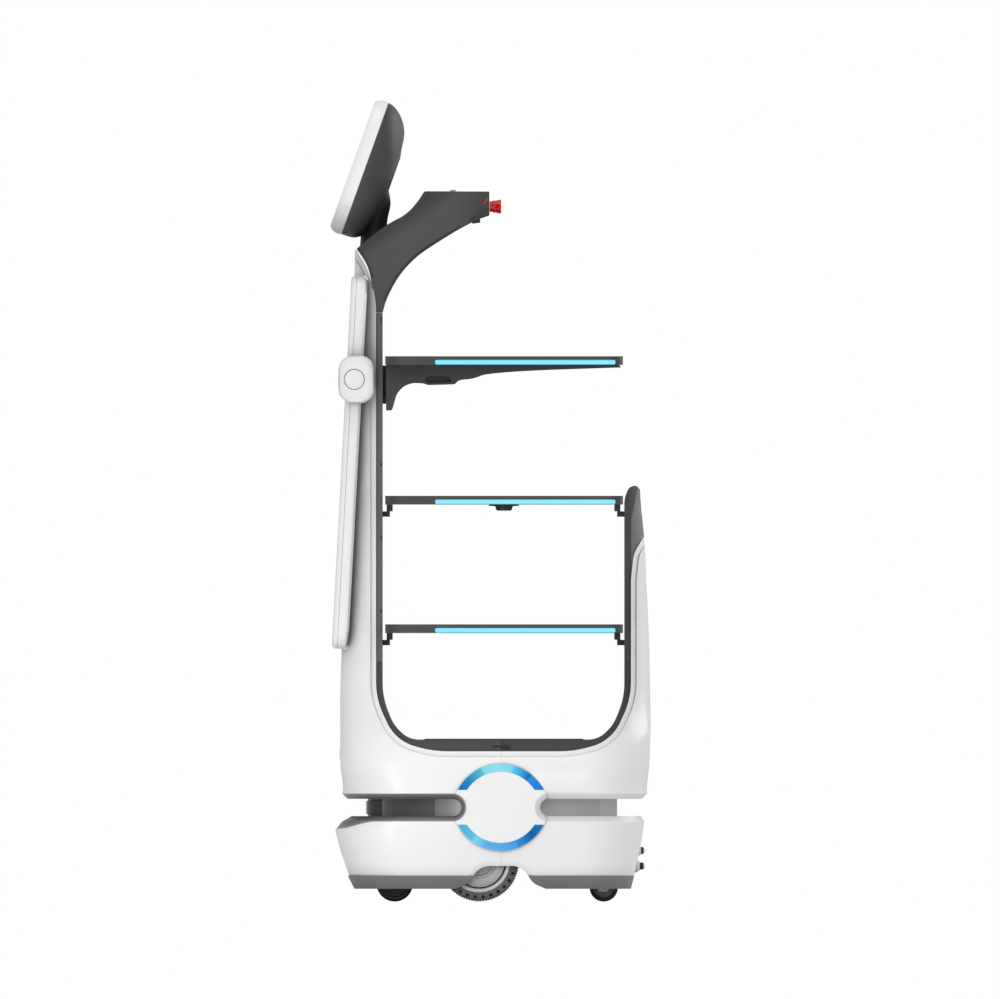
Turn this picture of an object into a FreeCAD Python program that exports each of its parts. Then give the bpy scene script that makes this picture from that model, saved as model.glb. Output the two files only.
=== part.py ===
import FreeCAD, Part
import math
import os

from FreeCAD import Placement, Rotation, Vector

# Tray-carrying delivery robot, millimetres.
# +X is forward, the side of both screens; +Y is the robot's left; +Z is up.
# The origin lies on the floor under the middle of the whole robot.

doc = FreeCAD.newDocument("DeliveryRobot")

# Driving sizes, one row each: name, millimetres or degrees, what it sets.
SIZES = (
    ("SeamPlace", -18.9, "joint between the front and rear mouldings"),
    ("BaseHalf", 260, "half width of the base"),
    ("FrontReach", 270.4, "front face of the base"),
    ("RearReach", 288.2, "rear face of the base, behind the origin"),
    ("FloorGap", 23, "floor to the bottom edge of the bumpers"),
    ("BumperTall", 23.4, "height of the grey bumper strip"),
    ("SkirtTop", 153.9, "top of the lower skirt, floor of the sensor slot"),
    ("SlotTall", 31, "height of the sensor slot"),
    ("SlotBevel", 9.9, "bevel along both edges of the sensor slot"),
    ("SkirtWall", 5, "wall of the hollow skirt and bumper"),
    ("LipReach", 279.4, "foremost edge of the skirt's lip"),
    ("DeckHeight", 291.8, "top of the lowest deck"),
    ("DeckThick", 21.8, "dark deck lining at mid length"),
    ("ColumnInner", 194, "rear face of the front column"),
    ("PostInner", 240.8, "front face of the rear post, behind the origin"),
    ("LinerThick", 12, "dark lining on column and post"),
    ("LinerInset", 6, "lining set in from the white side faces"),
    ("RimBand", 10, "inset band of the white shells round the lining"),
    ("RimInset", 2.5, "depth of that band"),
    ("ColumnTop", 1174, "top of the white column"),
    ("ColumnHalf", 165, "half width of the column at mid height"),
    ("ColumnTopHalf", 141, "half width of the column at its top"),
    ("ColumnLean", 26.5, "how far the column's front face leans back"),
    ("PostTop", 749.5, "top of the rear post"),
    ("PostHalf", 95, "half width of the rear post"),
    ("PostTopHalf", 80, "half width of the rear post at its top"),
    ("LinerSeam", 1060, "joint between the lining and the top arm"),
    ("LinerFoot", 432, "joint between the linings and the deck"),
    ("ArmTop", 1278.7, "flat top of the top arm"),
    ("ArmEnd", 1.6, "rear end face of the top arm"),
    ("ArmEndHalf", 85, "half width of the arm at its end"),
    ("EstopHeight", 1251, "axis of the emergency stop button"),
    ("EstopRadius", 12.7, "radius of its head"),
    ("EstopLong", 20.9, "how far it stands out of the arm"),
    ("TrayTopA", 981.7, "top face of the upper tray"),
    ("TrayTopB", 730.4, "top face of the middle tray"),
    ("TrayTopC", 499.1, "top face of the lower tray"),
    ("TrayThick", 15.8, "thickness of a tray"),
    ("TrayHalf", 250, "half width of a tray"),
    ("TrayCorner", 30, "corner radius of a tray in plan"),
    ("TrayGap", 2.2, "gap between a tray and the linings"),
    ("TrayRim", 9, "raised rim round a tray"),
    ("TrayDish", 3, "depth of a tray's dished top"),
    ("LightTall", 8.6, "height of a tray's light strip"),
    ("LightDrop", 6.5, "tray top to the top of its light strip"),
    ("LightDeep", 5, "depth of the groove that holds the strip"),
    ("LightFront", 99.7, "front end of the light strips"),
    ("LightRear", 224.8, "rear end of the light strips, behind the origin"),
    ("PegDrop", 27.9, "tray top to the pegs that it hooks on"),
    ("PegTall", 9.8, "height of a peg"),
    ("PegLong", 13, "how far a peg stands out of the lining"),
    ("PegWide", 24, "width of a peg"),
    ("FrontPegSide", 115, "front pegs' distance from the middle"),
    ("RearPegSide", 52, "rear pegs' distance from the middle"),
    ("BracketHalf", 150, "half width of the upper tray's bracket"),
    ("BracketGap", 3.6, "gap between the column and the bracket below its seat"),
    ("HeadLean", 19.75, "head leans back by this angle"),
    ("HeadX", 225.4, "middle of the head's parting line, forward"),
    ("HeadZ", 1319.3, "middle of the head's parting line, up"),
    ("HeadTall", 254, "height of the head along its slope"),
    ("HeadHalf", 166, "half width of the head"),
    ("HeadRim", 24.5, "thickness of the head's white rim"),
    ("HeadDeep", 53, "depth of the dark back shell of the head"),
    ("GlassMargin", 11, "white border round a screen"),
    ("GlassThick", 3, "thickness of a screen's cover glass"),
    ("NeckX", 209.5, "axis of the neck"),
    ("PanelLean", 3.05, "front display leans back by this angle"),
    ("PanelX", 267.9, "front face of the display at mid height"),
    ("PanelZ", 791.5, "middle of the display"),
    ("PanelTall", 673, "height of the display"),
    ("PanelHalf", 172, "half width of the display"),
    ("PanelThick", 29.5, "thickness of the display"),
    ("PanelFrame", 10, "thickness of its front frame"),
    ("PanelCorner", 34, "corner radius of the display"),
    ("ClipZ", 940, "middle of the side clips"),
    ("ClipX", 241, "middle of the side clips, forward"),
    ("ClipTall", 86, "height of a side clip"),
    ("ClipDeep", 66, "front to back size of a side clip"),
    ("ClipOut", 198, "outer face of a side clip"),
    ("CapRadius", 17.7, "round cap on a side clip"),
    ("CapX", 245, "axis of that cap, forward"),
    ("DiscX", 18.5, "middle of the side disc, behind the origin"),
    ("DiscZ", 169.7, "middle of the side disc"),
    ("DiscRadius", 88, "outer radius of the light arcs"),
    ("ArcWide", 15, "width of the light arcs"),
    ("ArcShift", 8.7, "how far the arcs' centres lie past the middle"),
    ("ArcCut", 31.4, "half height where the light arcs end"),
    ("DiscThick", 8, "thickness of the side disc"),
    ("SlotFrontEnd", 52, "rear end of the front sensor slot"),
    ("SlotRearEnd", 89.5, "front end of the rear sensor slot, behind the origin"),
    ("LidarFront", 224, "front of the laser scanner"),
    ("LidarRadius", 38, "radius of the laser scanner"),
    ("CoreFront", 195, "front wall of the core inside the slot"),
    ("CoreRear", 228, "rear wall of the core, behind the origin"),
    ("CoreInset", 55, "core from the base's side face"),
    ("ChassisTop", 104, "top of the chassis plate"),
    ("ChassisThick", 6, "thickness of the chassis plate"),
    ("BatteryLong", 150, "length of the battery"),
    ("BatteryHalf", 160, "half width of the battery"),
    ("BatteryRear", 175, "rear end of the battery, behind the origin"),
    ("WheelX", 20.3, "drive wheel axle, forward"),
    ("WheelRadius", 71.8, "drive wheel radius"),
    ("WheelWide", 42, "drive wheel width"),
    ("WheelInset", 52, "middle of a drive wheel from the base's side face"),
    ("RimRadius", 55, "drive wheel rim radius"),
    ("AxleRadius", 8, "fixed axle of a drive wheel"),
    ("RunFit", 0.05, "radial clearance of a running fit"),
    ("SeatGap", 0.3, "clearance between curved pieces"),
    ("CastorInset", 135, "castors from the base's side face"),
    ("FrontCastorX", 172.4, "front castor wheel centre, forward"),
    ("FrontCastorRadius", 33.1, "front castor wheel radius"),
    ("FrontTrail", 14, "front castor's trail"),
    ("RearCastorX", 203.9, "rear castor wheel centre, behind the origin"),
    ("RearCastorRadius", 25.6, "rear castor wheel radius"),
    ("RearTrail", 16, "rear castor's trail"),
    ("CastorWide", 18, "width of a castor wheel"),
    ("PinRadius", 4, "radius of a castor's wheel pin"),
    ("StemRadius", 5, "radius of a castor's swivel stem"),
    ("ArchTop", 64.1, "top of the wheel arch"),
    ("ArchBevel", 9.2, "width of the bevel round the wheel arch"),
    ("ContactRadius", 6.5, "radius of a charging contact"),
    ("ContactOut", 277.6, "tips of the charging contacts, behind the origin"),
    ("ContactUpper", 92, "upper charging contact"),
    ("ContactLower", 64, "lower charging contact"),
)

sheet = doc.addObject("Spreadsheet::Sheet", "Sizes")
for row, (alias, value, note) in enumerate(SIZES, start=1):
    sheet.set("A%d" % row, note)
    sheet.set("B%d" % row, str(value))
    sheet.setAlias("B%d" % row, alias)
doc.recompute()


def cell(alias):
    """Value of a driving size, read back from the sheet."""
    return float(sheet.get(alias))


# Drawing planes: the way a flat outline is turned before it is moved.
PLANES = {
    "plan": Rotation(),
    "side": Rotation(Vector(1, 0, 0), 90),
    "front": Rotation(Vector(1, 1, 1), 120),
}
nodes = []


def rounded(points):
    """Closed outline of lines and tangent arcs from (across, up, corner radius) points."""
    corners = []
    count = len(points)
    for here in range(count):
        before = Vector(points[here - 1][0], points[here - 1][1], 0)
        corner = Vector(points[here][0], points[here][1], 0)
        after = Vector(points[(here + 1) % count][0], points[(here + 1) % count][1], 0)
        radius = points[here][2]
        if radius <= 0:
            corners.append((corner, None, corner))
            continue
        back = (before - corner).normalize()
        ahead = (after - corner).normalize()
        half = back.getAngle(ahead) / 2
        run = min(radius / math.tan(half), 0.49 * (before - corner).Length, 0.49 * (after - corner).Length)
        radius = run * math.tan(half)
        inward = (back + ahead).normalize()
        middle = corner + inward * (radius / math.sin(half) - radius)
        corners.append((corner + back * run, middle, corner + ahead * run))
    edges = []
    for here in range(count):
        start, middle, end = corners[here]
        if middle is not None:
            edges.append(Part.Arc(start, middle, end))
        following = corners[(here + 1) % count][0]
        if (following - end).Length > 1e-6:
            edges.append(Part.LineSegment(end, following))
    return edges


def grown(points, by):
    """The same outline, drawn anticlockwise, set outward by a distance (inward if negative)."""
    result = []
    count = len(points)
    for here in range(count):
        before = Vector(points[here - 1][0], points[here - 1][1], 0)
        corner = Vector(points[here][0], points[here][1], 0)
        after = Vector(points[(here + 1) % count][0], points[(here + 1) % count][1], 0)
        coming = (corner - before).normalize()
        going = (after - corner).normalize()
        out_a = Vector(coming.y, -coming.x, 0)
        out_b = Vector(going.y, -going.x, 0)
        move = (out_a + out_b) * (by / (1 + out_a.dot(out_b)))
        turn = coming.x * going.y - coming.y * going.x
        radius = points[here][2]
        if radius > 0:
            radius = max(radius + (by if turn > 0 else -by), 0.1)
        result.append((corner.x + move.x, corner.y + move.y, radius))
    return result


def box_outline(low, high, half, radius):
    """Rounded rectangle from low to high, as wide as half on both sides."""
    return [(low, -half, radius), (high, -half, radius), (high, half, radius), (low, half, radius)]


def sketch(name, plane, points, offset=0):
    """Sketch of a rounded outline on a drawing plane, moved along its normal by offset."""
    made = doc.addObject("Sketcher::SketchObject", name)
    made.Placement = Placement(PLANES[plane].multVec(Vector(0, 0, offset)), PLANES[plane])
    made.addGeometry(rounded(points), False)
    return made


def prism(name, plane, points, length, offset=0):
    """Sketch drawn out by an expression of the sheet, to both sides of its plane."""
    made = doc.addObject("Part::Extrusion", name)
    made.Base = sketch(name + "_outline", plane, points, offset)
    made.DirMode = "Normal"
    made.Symmetric = True
    made.Solid = True
    made.LengthFwd = 1
    made.setExpression("LengthFwd", length)
    return made


def loft(name, sections, ruled=False):
    """Solid through a row of sketches."""
    made = doc.addObject("Part::Loft", name)
    made.Sections = sections
    made.Solid = True
    made.Ruled = ruled
    made.MaxDegree = 3
    return made


def cut(name, base, *tools):
    """Base with each tool taken away in turn."""
    for number, tool in enumerate(tools, start=1):
        made = doc.addObject("Part::Cut", name if number == len(tools) else "%s_cut%d" % (name, number))
        made.Base = base
        made.Tool = tool
        base = made
    return base


def fuse(name, *shapes):
    """Shapes joined in one solid."""
    made = doc.addObject("Part::MultiFuse", name)
    made.Shapes = list(shapes)
    made.Refine = True
    return made


def common(name, *shapes):
    """What all shapes share."""
    made = doc.addObject("Part::MultiCommon", name)
    made.Shapes = list(shapes)
    made.Refine = True
    return made


def node(label, made):
    """Name a finished sub-part after the file that it is written to."""
    made.Label = label
    nodes.append(made)
    return made


def place(made, **where):
    """Bind a piece's place to expressions of the sheet."""
    for axis, expression in where.items():
        made.setExpression("Placement.Base." + axis, expression)
    return made


def lean(made, alias):
    """Turn a piece about its own cross axis, leaning back by an angle of the sheet."""
    made.Placement = Placement(made.Placement.Base, Rotation(Vector(0, 1, 0), -cell(alias)))
    made.setExpression("Placement.Rotation.Angle", "Sizes." + alias)
    made.setExpression("Placement.Rotation.Axis.y", "-1")
    return made


def body(name):
    """Empty body for a piece made by sketches and features."""
    return doc.addObject("PartDesign::Body", name)


def body_sketch(owner, name, role, points, offset=0, circles=()):
    """Sketch on one of the body's own planes, with an outline and (across, up, radius) circles."""
    made = owner.newObject("Sketcher::SketchObject", name)
    support = next(face for face in owner.Origin.OriginFeatures if face.Role == role)
    made.AttachmentSupport = [(support, "")]
    made.MapMode = "FlatFace"
    made.AttachmentOffset = Placement(Vector(0, 0, offset), Rotation())
    if points:
        made.addGeometry(rounded(points), False)
    for across, up, radius in circles:
        made.addGeometry(Part.Circle(Vector(across, up, 0), Vector(0, 0, 1), radius), False)
    return made


def pad(owner, name, profile, length, midplane=False, back=False):
    """Pad of a sketch, as long as an expression of the sheet."""
    made = owner.newObject("PartDesign::Pad", name)
    made.Profile = profile
    made.Midplane = midplane
    made.Reversed = back
    made.Length = 1
    made.setExpression("Length", length)
    return made


def pocket(owner, name, profile, length, midplane=False, back=False):
    """Pocket of a sketch, as deep as an expression of the sheet."""
    made = owner.newObject("PartDesign::Pocket", name)
    made.Profile = profile
    made.Midplane = midplane
    made.Reversed = back
    made.Length = 1
    made.setExpression("Length", length)
    return made


def body_loft(owner, name, sections, ruled=False):
    """Loft through sketches of the same body."""
    made = owner.newObject("PartDesign::AdditiveLoft", name)
    made.Profile = sections[0]
    made.Sections = sections[1:]
    made.Ruled = ruled
    return made


def turned(name, role, axis, points, **where):
    """Body turned full round from a sketched half section."""
    made = body(name)
    profile = body_sketch(made, name + "_section", role, points)
    spin = made.newObject("PartDesign::Revolution", name + "_turn")
    spin.Profile = profile
    spin.ReferenceAxis = (profile, [axis])
    spin.Angle = 360
    return place(made, **where)


# Places that several pieces share, worked out from the driving sizes.
seam = cell("SeamPlace")
shell_low = cell("SkirtTop") + cell("SlotTall")
bumper_top = cell("FloorGap") + cell("BumperTall")
deck = cell("DeckHeight")
lining_front = cell("ColumnInner") + cell("LinerThick")
lining_rear = -cell("PostInner") - cell("LinerThick")
lining_low = deck - cell("DeckThick")
above_all = cell("ArmTop") + 200
far_out = "2 * Sizes.BaseHalf + 200"


# White upper shells: the base, the front column and the rear post.
# Columns: height above the deck, share of the base's width left, corner radius,
# how far the face lies inside the base's reach.
lean_start = deck + 90
FRONT_ROWS = [(-62, 1, 105, 2), (-38, 0.995, 105, 0), (-14, 0.96, 105, 0), (10, 0.86, 100, 0),
              (42, 0.63, 94, 0), (84, 0.41, 88, 0), (150, 0.22, 80, 0), (260, 0.08, 74, 0), (410, 0, 70, 0),
              (580, -0.05, 68, 0), (760, -0.12, 66, 0)]
REAR_ROWS = [(-62, 1, 118, 4), (-38, 0.995, 118, 2), (-14, 0.96, 118, 1), (10, 0.84, 108, 0),
             (42, 0.56, 92, 0), (84, 0.33, 70, 0.8), (150, 0.16, 58, 2), (230, 0.06, 54, 5), (320, 0, 50, 9),
             (390, -0.05, 48, 14)]


def column_face(height):
    """Front face of the column at a height: upright, then leaning back to the top."""
    share = max(0, height - lean_start) / (cell("ColumnTop") - lean_start)
    return cell("FrontReach") - cell("ColumnLean") * share


def upper_rows(rows, narrow, sign):
    """Sections of an upper shell as (height, face, half width, corner radius)."""
    result = []
    for above, share, corner, inside in rows:
        height = deck + above
        half = cell(narrow) + (cell("BaseHalf") - cell(narrow)) * share
        face = column_face(height) - inside if sign > 0 else cell("RearReach") - inside
        result.append((height, face, half, corner))
    return result


front_rows = upper_rows(FRONT_ROWS, "ColumnHalf", 1)
rear_rows = upper_rows(REAR_ROWS, "PostHalf", -1)
front_rows.insert(0, (shell_low + cell("SlotBevel"), cell("FrontReach") - 3, cell("BaseHalf") - 0.6, 105))
rear_rows.insert(0, (shell_low + cell("SlotBevel"), cell("RearReach") - 6, cell("BaseHalf") - 0.6, 118))
front_rows.append((cell("ColumnTop"), cell("FrontReach") - cell("ColumnLean"), cell("ColumnTopHalf"), 62))
rear_rows.append((cell("PostTop"), cell("RearReach") - 19, cell("PostTopHalf"), 46))


def half_outline(sign, face, half, corner, start=0):
    """Plan outline of a front (sign 1) or rear (sign -1) moulding, from the seam to its face."""
    near = seam - sign * start
    points = [(near, -half, 0), (sign * face, -half, corner), (sign * face, half, corner), (near, half, 0)]
    return points if sign > 0 else points[::-1]


def moulding(name, sign, rows, inset=0, ruled=False, start=0, shrink=0):
    """Loft through plan sections given as (height, face, half width, corner radius)."""
    sections = []
    for number, (height, face, half, corner) in enumerate(rows, start=1):
        points = half_outline(sign, face - shrink, half - inset - shrink, corner - shrink, start)
        sections.append(sketch("%s_section%d" % (name, number), "plan", points, height))
    return loft(name, sections, ruled)


# Bay between column and post: corners as (distance in from the wall, height over its floor, radius).
OUTER_BAY = [(0, 94.5, 144), (27.2, 36.2, 77), (53.7, 13.9, 77), (103.6, 0.5, 258)]
INNER_BAY = [(0, 76, 190), (19, 28, 68), (46, 0, 60)]
# Upper ends of the lining's outer line as (distance out from the wall, height, radius).
COLUMN_FLARE = [(0, -92, 160), (14, -36, 120), (35, -2, 40), (62, 30, 0)]
POST_FLARE = [(0, -170, 100), (5, -122, 60), (26, -88, 60), (60, -33, 0)]


def bay_outline(front, rear, floor, corners, column_ends, post_ends):
    """Closed outline of the bay, anticlockwise seen from the right, open to the sky."""
    points = [(-rear + inward, floor + up, radius) for inward, up, radius in corners]
    points += [(front - inward, floor + up, radius) for inward, up, radius in corners[::-1]]
    points += column_ends
    points += [(points[-1][0], above_all, 0)]
    post_side = post_ends[::-1]
    first = post_side[0][0] if post_side else -rear
    points += [(first, above_all, 0)]
    points += post_side
    return points


column_ends = [(lining_front + out, cell("ColumnTop") + up, radius) for out, up, radius in COLUMN_FLARE]
post_ends = [(lining_rear - out, cell("PostTop") + up, radius) for out, up, radius in POST_FLARE]
outer_bay = bay_outline(lining_front, -lining_rear, lining_low, OUTER_BAY, column_ends, post_ends)
inner_bay = bay_outline(cell("ColumnInner"), cell("PostInner"), deck, INNER_BAY, [], [])


def bay_tool(name, points):
    """Bay outline drawn right across the robot."""
    return prism(name, "side", points, far_out)


# The front display is let into the column, so its whole block comes first.
thick = cell("PanelThick")
frame_deep = cell("PanelFrame")
panel_half = cell("PanelHalf")
panel_tall = cell("PanelTall") / 2
panel_corner = cell("PanelCorner")


def panel_piece(name, table):
    """Ruled loft through display sections given as (depth behind the face, set in)."""
    made = body(name)
    sections = []
    for number, (depth, inside) in enumerate(table, start=1):
        outline = box_outline(-panel_half + inside, panel_half - inside, panel_tall - inside,
                              panel_corner - inside / 2)
        sections.append(body_sketch(made, "%s_section%d" % (name, number), "YZ_Plane", outline, -depth))
    body_loft(made, name + "_loft", sections, True)
    return made


def panel_place(made):
    """Put a piece of the display in its place."""
    return lean(place(made, x="Sizes.PanelX", z="Sizes.PanelZ"), "PanelLean")


panel = panel_place(panel_piece("panel_seat", [(0, 0), (thick - 4, 0), (thick, 5)]))
bay_white = bay_tool("bay_white", outer_bay)
bay_band = bay_tool("bay_band", grown(outer_bay, cell("RimBand")))
bay_clear = bay_tool("bay_clear", inner_bay)

disc_rise = cell("ArcShift")
disc_x = -cell("DiscX")
disc_z = cell("DiscZ")


def oval(radius):
    """Outline of two equal arcs that meet at the sides, round the disc's middle."""
    half = math.sqrt(radius ** 2 - disc_rise ** 2)
    crown = radius - disc_rise
    sides = [Vector(disc_x + half, disc_z, 0), Vector(disc_x - half, disc_z, 0)]
    top = Part.Arc(sides[0], Vector(disc_x, disc_z + crown, 0), sides[1])
    bottom = Part.Arc(sides[1], Vector(disc_x, disc_z - crown, 0), sides[0])
    return [top, bottom]


def oval_prism(name, radius, inner, outer, sign):
    """Oval drawn across from one distance to another on one side of the robot."""
    made = doc.addObject("Sketcher::SketchObject", name + "_outline")
    made.Placement = Placement(Vector(0, sign * outer, 0), PLANES["side"])
    made.addGeometry(oval(radius), False)
    block = doc.addObject("Part::Extrusion", name)
    block.Base = made
    block.DirMode = "Normal"
    block.Solid = True
    block.Reversed = sign < 0
    block.LengthFwd = outer - inner
    return block


disc_face = cell("BaseHalf") + 1
disc_seats = [oval_prism("disc_seat_%s" % side, cell("DiscRadius") + cell("SeatGap"),
                         disc_face - cell("DiscThick"), disc_face + 20, sign)
              for side, sign in (("left", 1), ("right", -1))]


def upper_shell(label, sign, rows):
    """White upper moulding with its bevelled foot, the bay and the inset band round it."""
    skin = moulding(label + "_skin", sign, rows)
    band = moulding(label + "_band", sign, rows, cell("RimInset"))
    full = rows[0]
    bevel = cell("SlotBevel")
    low = (shell_low, full[1] - bevel, full[2] - bevel, full[3] - bevel)
    foot = moulding(label + "_foot", sign, [low, full], 0, True)
    outside = cut(label + "_outside", skin, bay_band)
    inside = cut(label + "_inside", common(label + "_rim", band, bay_band), bay_white)
    return fuse(label + "_body", outside, inside, foot)


front_body = upper_shell("front_shell", 1, front_rows)
rear_body = upper_shell("rear_shell", -1, rear_rows)
node("front_shell", cut("front_shell", front_body, panel, *disc_seats))
node("rear_shell", cut("rear_shell", rear_body, *disc_seats))

# Dark lining of the bay: one strip on the column, one on the post, one U-shaped deck between.
lining = cut("lining_profile", bay_tool("lining_outer", outer_bay), bay_clear)
inset = cell("LinerInset")
front_inner = moulding("front_lining_skin", 1, front_rows, inset)
rear_inner = moulding("rear_lining_skin", -1, rear_rows, inset)
inner_skins = fuse("lining_skins", front_inner, rear_inner)


def slab(name, low, high):
    """Level slab across everything between two heights."""
    reach = cell("FrontReach") + cell("RearReach")
    outline = [(-reach, low, 0), (reach, low, 0), (reach, high, 0), (-reach, high, 0)]
    return prism(name, "side", outline, far_out)


deck_slab = slab("deck_slab", lining_low - 1, cell("LinerFoot"))
column_slab = slab("column_slab", cell("LinerFoot"), cell("LinerSeam"))
post_slab = slab("post_slab", cell("LinerFoot"), cell("PostTop"))
node("deck_liner", common("deck_liner", lining, inner_skins, deck_slab))
node("front_liner", common("front_liner", lining, front_inner, column_slab))

# The post's lining runs over its top as a dark cap, so it fills the post above the white shell.
post_x = -cell("PostInner")
post_top = cell("PostTop")
cap_outline = [(post_x, post_top - 400, 0), (post_x, post_top - 24, 60), (post_x - 8, post_top - 4, 12),
               (post_x - 21, post_top, 7), (post_x - 29, post_top - 8, 6), (post_x - 31, post_top - 50, 0),
               (post_x - 60, post_top - 60, 0), (post_x - 60, post_top - 400, 0)]
cap_profile = prism("cap_profile", "side", cap_outline, far_out)
rear_white = moulding("post_cap_skin", -1, rear_rows, inset)
cap_solid = common("cap_solid", rear_white, cap_profile, post_slab, bay_tool("cap_bay", outer_bay))
node("rear_liner", cap_solid)

# Top arm: the side outline, narrowed in plan towards its end.
underside = [(cell("ColumnInner"), cell("LinerSeam"), 0), (cell("ColumnInner"), 1092, 330), (148, 1150, 240),
             (63.5, 1207, 300), (24, 1227.5, 40), (cell("ArmEnd"), 1234.4, 0)]
upper_line = [(cell("ArmEnd"), cell("ArmTop"), 3), (117.5, cell("ArmTop"), 4), (150, 1239, 150),
              (cell("ColumnInner") - 8, 1215.5, 60), (237, 1178.5, 3), (246, 1170, 0)]
arm_side = underside + upper_line + [(246, cell("LinerSeam"), 0)]
arm_half = cell("ColumnTopHalf") - 1
arm_plan = [(cell("ArmEnd") - 5, -cell("ArmEndHalf"), 0), (120, -arm_half + 18, 200), (200, -arm_half, 90),
            (243, -arm_half, 58), (243, arm_half, 58), (200, arm_half, 90), (120, arm_half - 18, 200),
            (cell("ArmEnd") - 5, cell("ArmEndHalf"), 0)]
arm_whole = common("arm_whole", prism("arm_side", "side", arm_side[::-1], far_out),
                   prism("arm_plan", "plan", arm_plan, "4 * Sizes.ArmTop"), bay_tool("arm_bay", outer_bay))
arm_facets = []
facet_size = 160
for side, sign in (("left", 1), ("right", -1)):
    facet = doc.addObject("Part::Box", "arm_facet_" + side)
    for length in ("Length", "Width", "Height"):
        facet.setExpression(length, str(facet_size))
    high = Vector(cell("ArmEnd"), sign * cell("ArmEndHalf"), cell("ArmTop") - 6)
    along = Vector(43, sign * 12, -49)
    inward = Vector(0, sign * -23, -38)
    outward = along.cross(inward) * sign
    turn = Rotation(Vector(0, 0, 1), outward)
    facet.Placement = Placement(high - turn.multVec(Vector(facet_size / 2, facet_size / 2, 0)), turn)
    arm_facets.append(facet)
arm_block = cut("arm_block", arm_whole, *arm_facets)
node("top_arm", arm_block)

# Lower skirt with its lip, hollow from below, and the grey bumper strip under it.
bevel = cell("SlotBevel")
base_half = cell("BaseHalf")
lip = cell("LipReach")
rear_reach = cell("RearReach")
skirt_top = cell("SkirtTop")
# Rows: height, face, half width, corner radius.
front_skirt_rows = [(bumper_top, lip - 25, base_half - 5, 104),
                    (bumper_top + 48, lip - 8.4, base_half - 2, 106),
                    (skirt_top - 25, lip, base_half - 0.5, 108),
                    (skirt_top - bevel, lip - 12, base_half - 1, 106),
                    (skirt_top, lip - 29, base_half - bevel, 96)]
rear_skirt_rows = [(bumper_top, rear_reach - 29.4, base_half - 5, 112),
                   (bumper_top + 58, rear_reach - 17.3, base_half - 2, 116),
                   (skirt_top - bevel, rear_reach - 11.2, base_half - 1, 118),
                   (skirt_top, rear_reach - 17.3, base_half - bevel, 112)]
front_bumper_rows = [(cell("FloorGap"), lip - 34.4, base_half - 14, 96),
                     (bumper_top, lip - 22.4, base_half - 3, 104)]
rear_bumper_rows = [(cell("FloorGap"), rear_reach - 35.5, base_half - 14, 104),
                    (bumper_top, rear_reach - 29.4, base_half - 3, 112)]
arch_x = disc_x
arch_top = cell("ArchTop")
arch_low = cell("FloorGap")
arch_points = [(arch_x - 90, arch_low - 20, 0), (arch_x + 90, arch_low - 20, 0),
               (arch_x + 90, arch_low - 4, 0),
               (arch_x + 58, arch_low + 10, 28), (arch_x + 38, arch_top, 38), (arch_x - 38, arch_top, 38),
               (arch_x - 58, arch_low + 10, 28), (arch_x - 90, arch_low - 4, 0)]
arch = prism("wheel_arch", "side", arch_points, far_out)
wall = cell("SkirtWall")
arch_bevel = cell("ArchBevel")
arch_face = base_half - 3.5
arch_flares = []
for side, sign in (("left", 1), ("right", -1)):
    name = "arch_flare_" + side
    arch_flares.append(loft(name, [sketch(name + "_inner", "side", arch_points, -sign * (arch_face - wall)),
                                   sketch(name + "_outer", "side", grown(arch_points, 2 * arch_bevel),
                                          -sign * (arch_face + wall))], True))


def hollow(label, sign, rows, top_wall):
    """Moulding with the same sections set in by the wall, open at the foot and at the seam."""
    skin = moulding(label + "_skin", sign, rows, 0, True)
    inner_rows = [(rows[0][0] - 1,) + rows[0][1:]] + list(rows)
    top = inner_rows[-1]
    below = inner_rows[-2]
    share = top_wall / (top[0] - below[0])
    last = tuple(top[k] - (top[k] - below[k]) * share for k in range(4))
    inner_rows[-1] = last
    core = moulding(label + "_hollow", sign, inner_rows, 0, True, 1, wall)
    return cut(label + "_wall", skin, core)


for label, sign, rows in (("front_skirt", 1, front_skirt_rows), ("rear_skirt", -1, rear_skirt_rows)):
    node(label, cut(label, hollow(label, sign, rows, wall), arch, *arch_flares, *disc_seats))
for label, sign, rows in (("front_bumper", 1, front_bumper_rows), ("rear_bumper", -1, rear_bumper_rows)):
    node(label, cut(label, hollow(label, sign, rows, -1), arch))

# Core of the base, seen through the sensor slots; the laser scanner sits in its front.
front_end = cell("SlotFrontEnd")
rear_end = -cell("SlotRearEnd")
core_half = cell("BaseHalf") - cell("CoreInset")


def slot_prism(name, end, sign, grow=0):
    """Sensor slot with its round inner end, open to the front (sign 1) or the rear."""
    low = skirt_top - grow
    high = shell_low + grow
    radius = (high - low) / 2
    near = end - sign * grow
    far = sign * (base_half + rear_reach)
    points = [(near, low, radius), (far, low, 0), (far, high, 0), (near, high, radius)]
    return points if sign > 0 else points[::-1]


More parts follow.
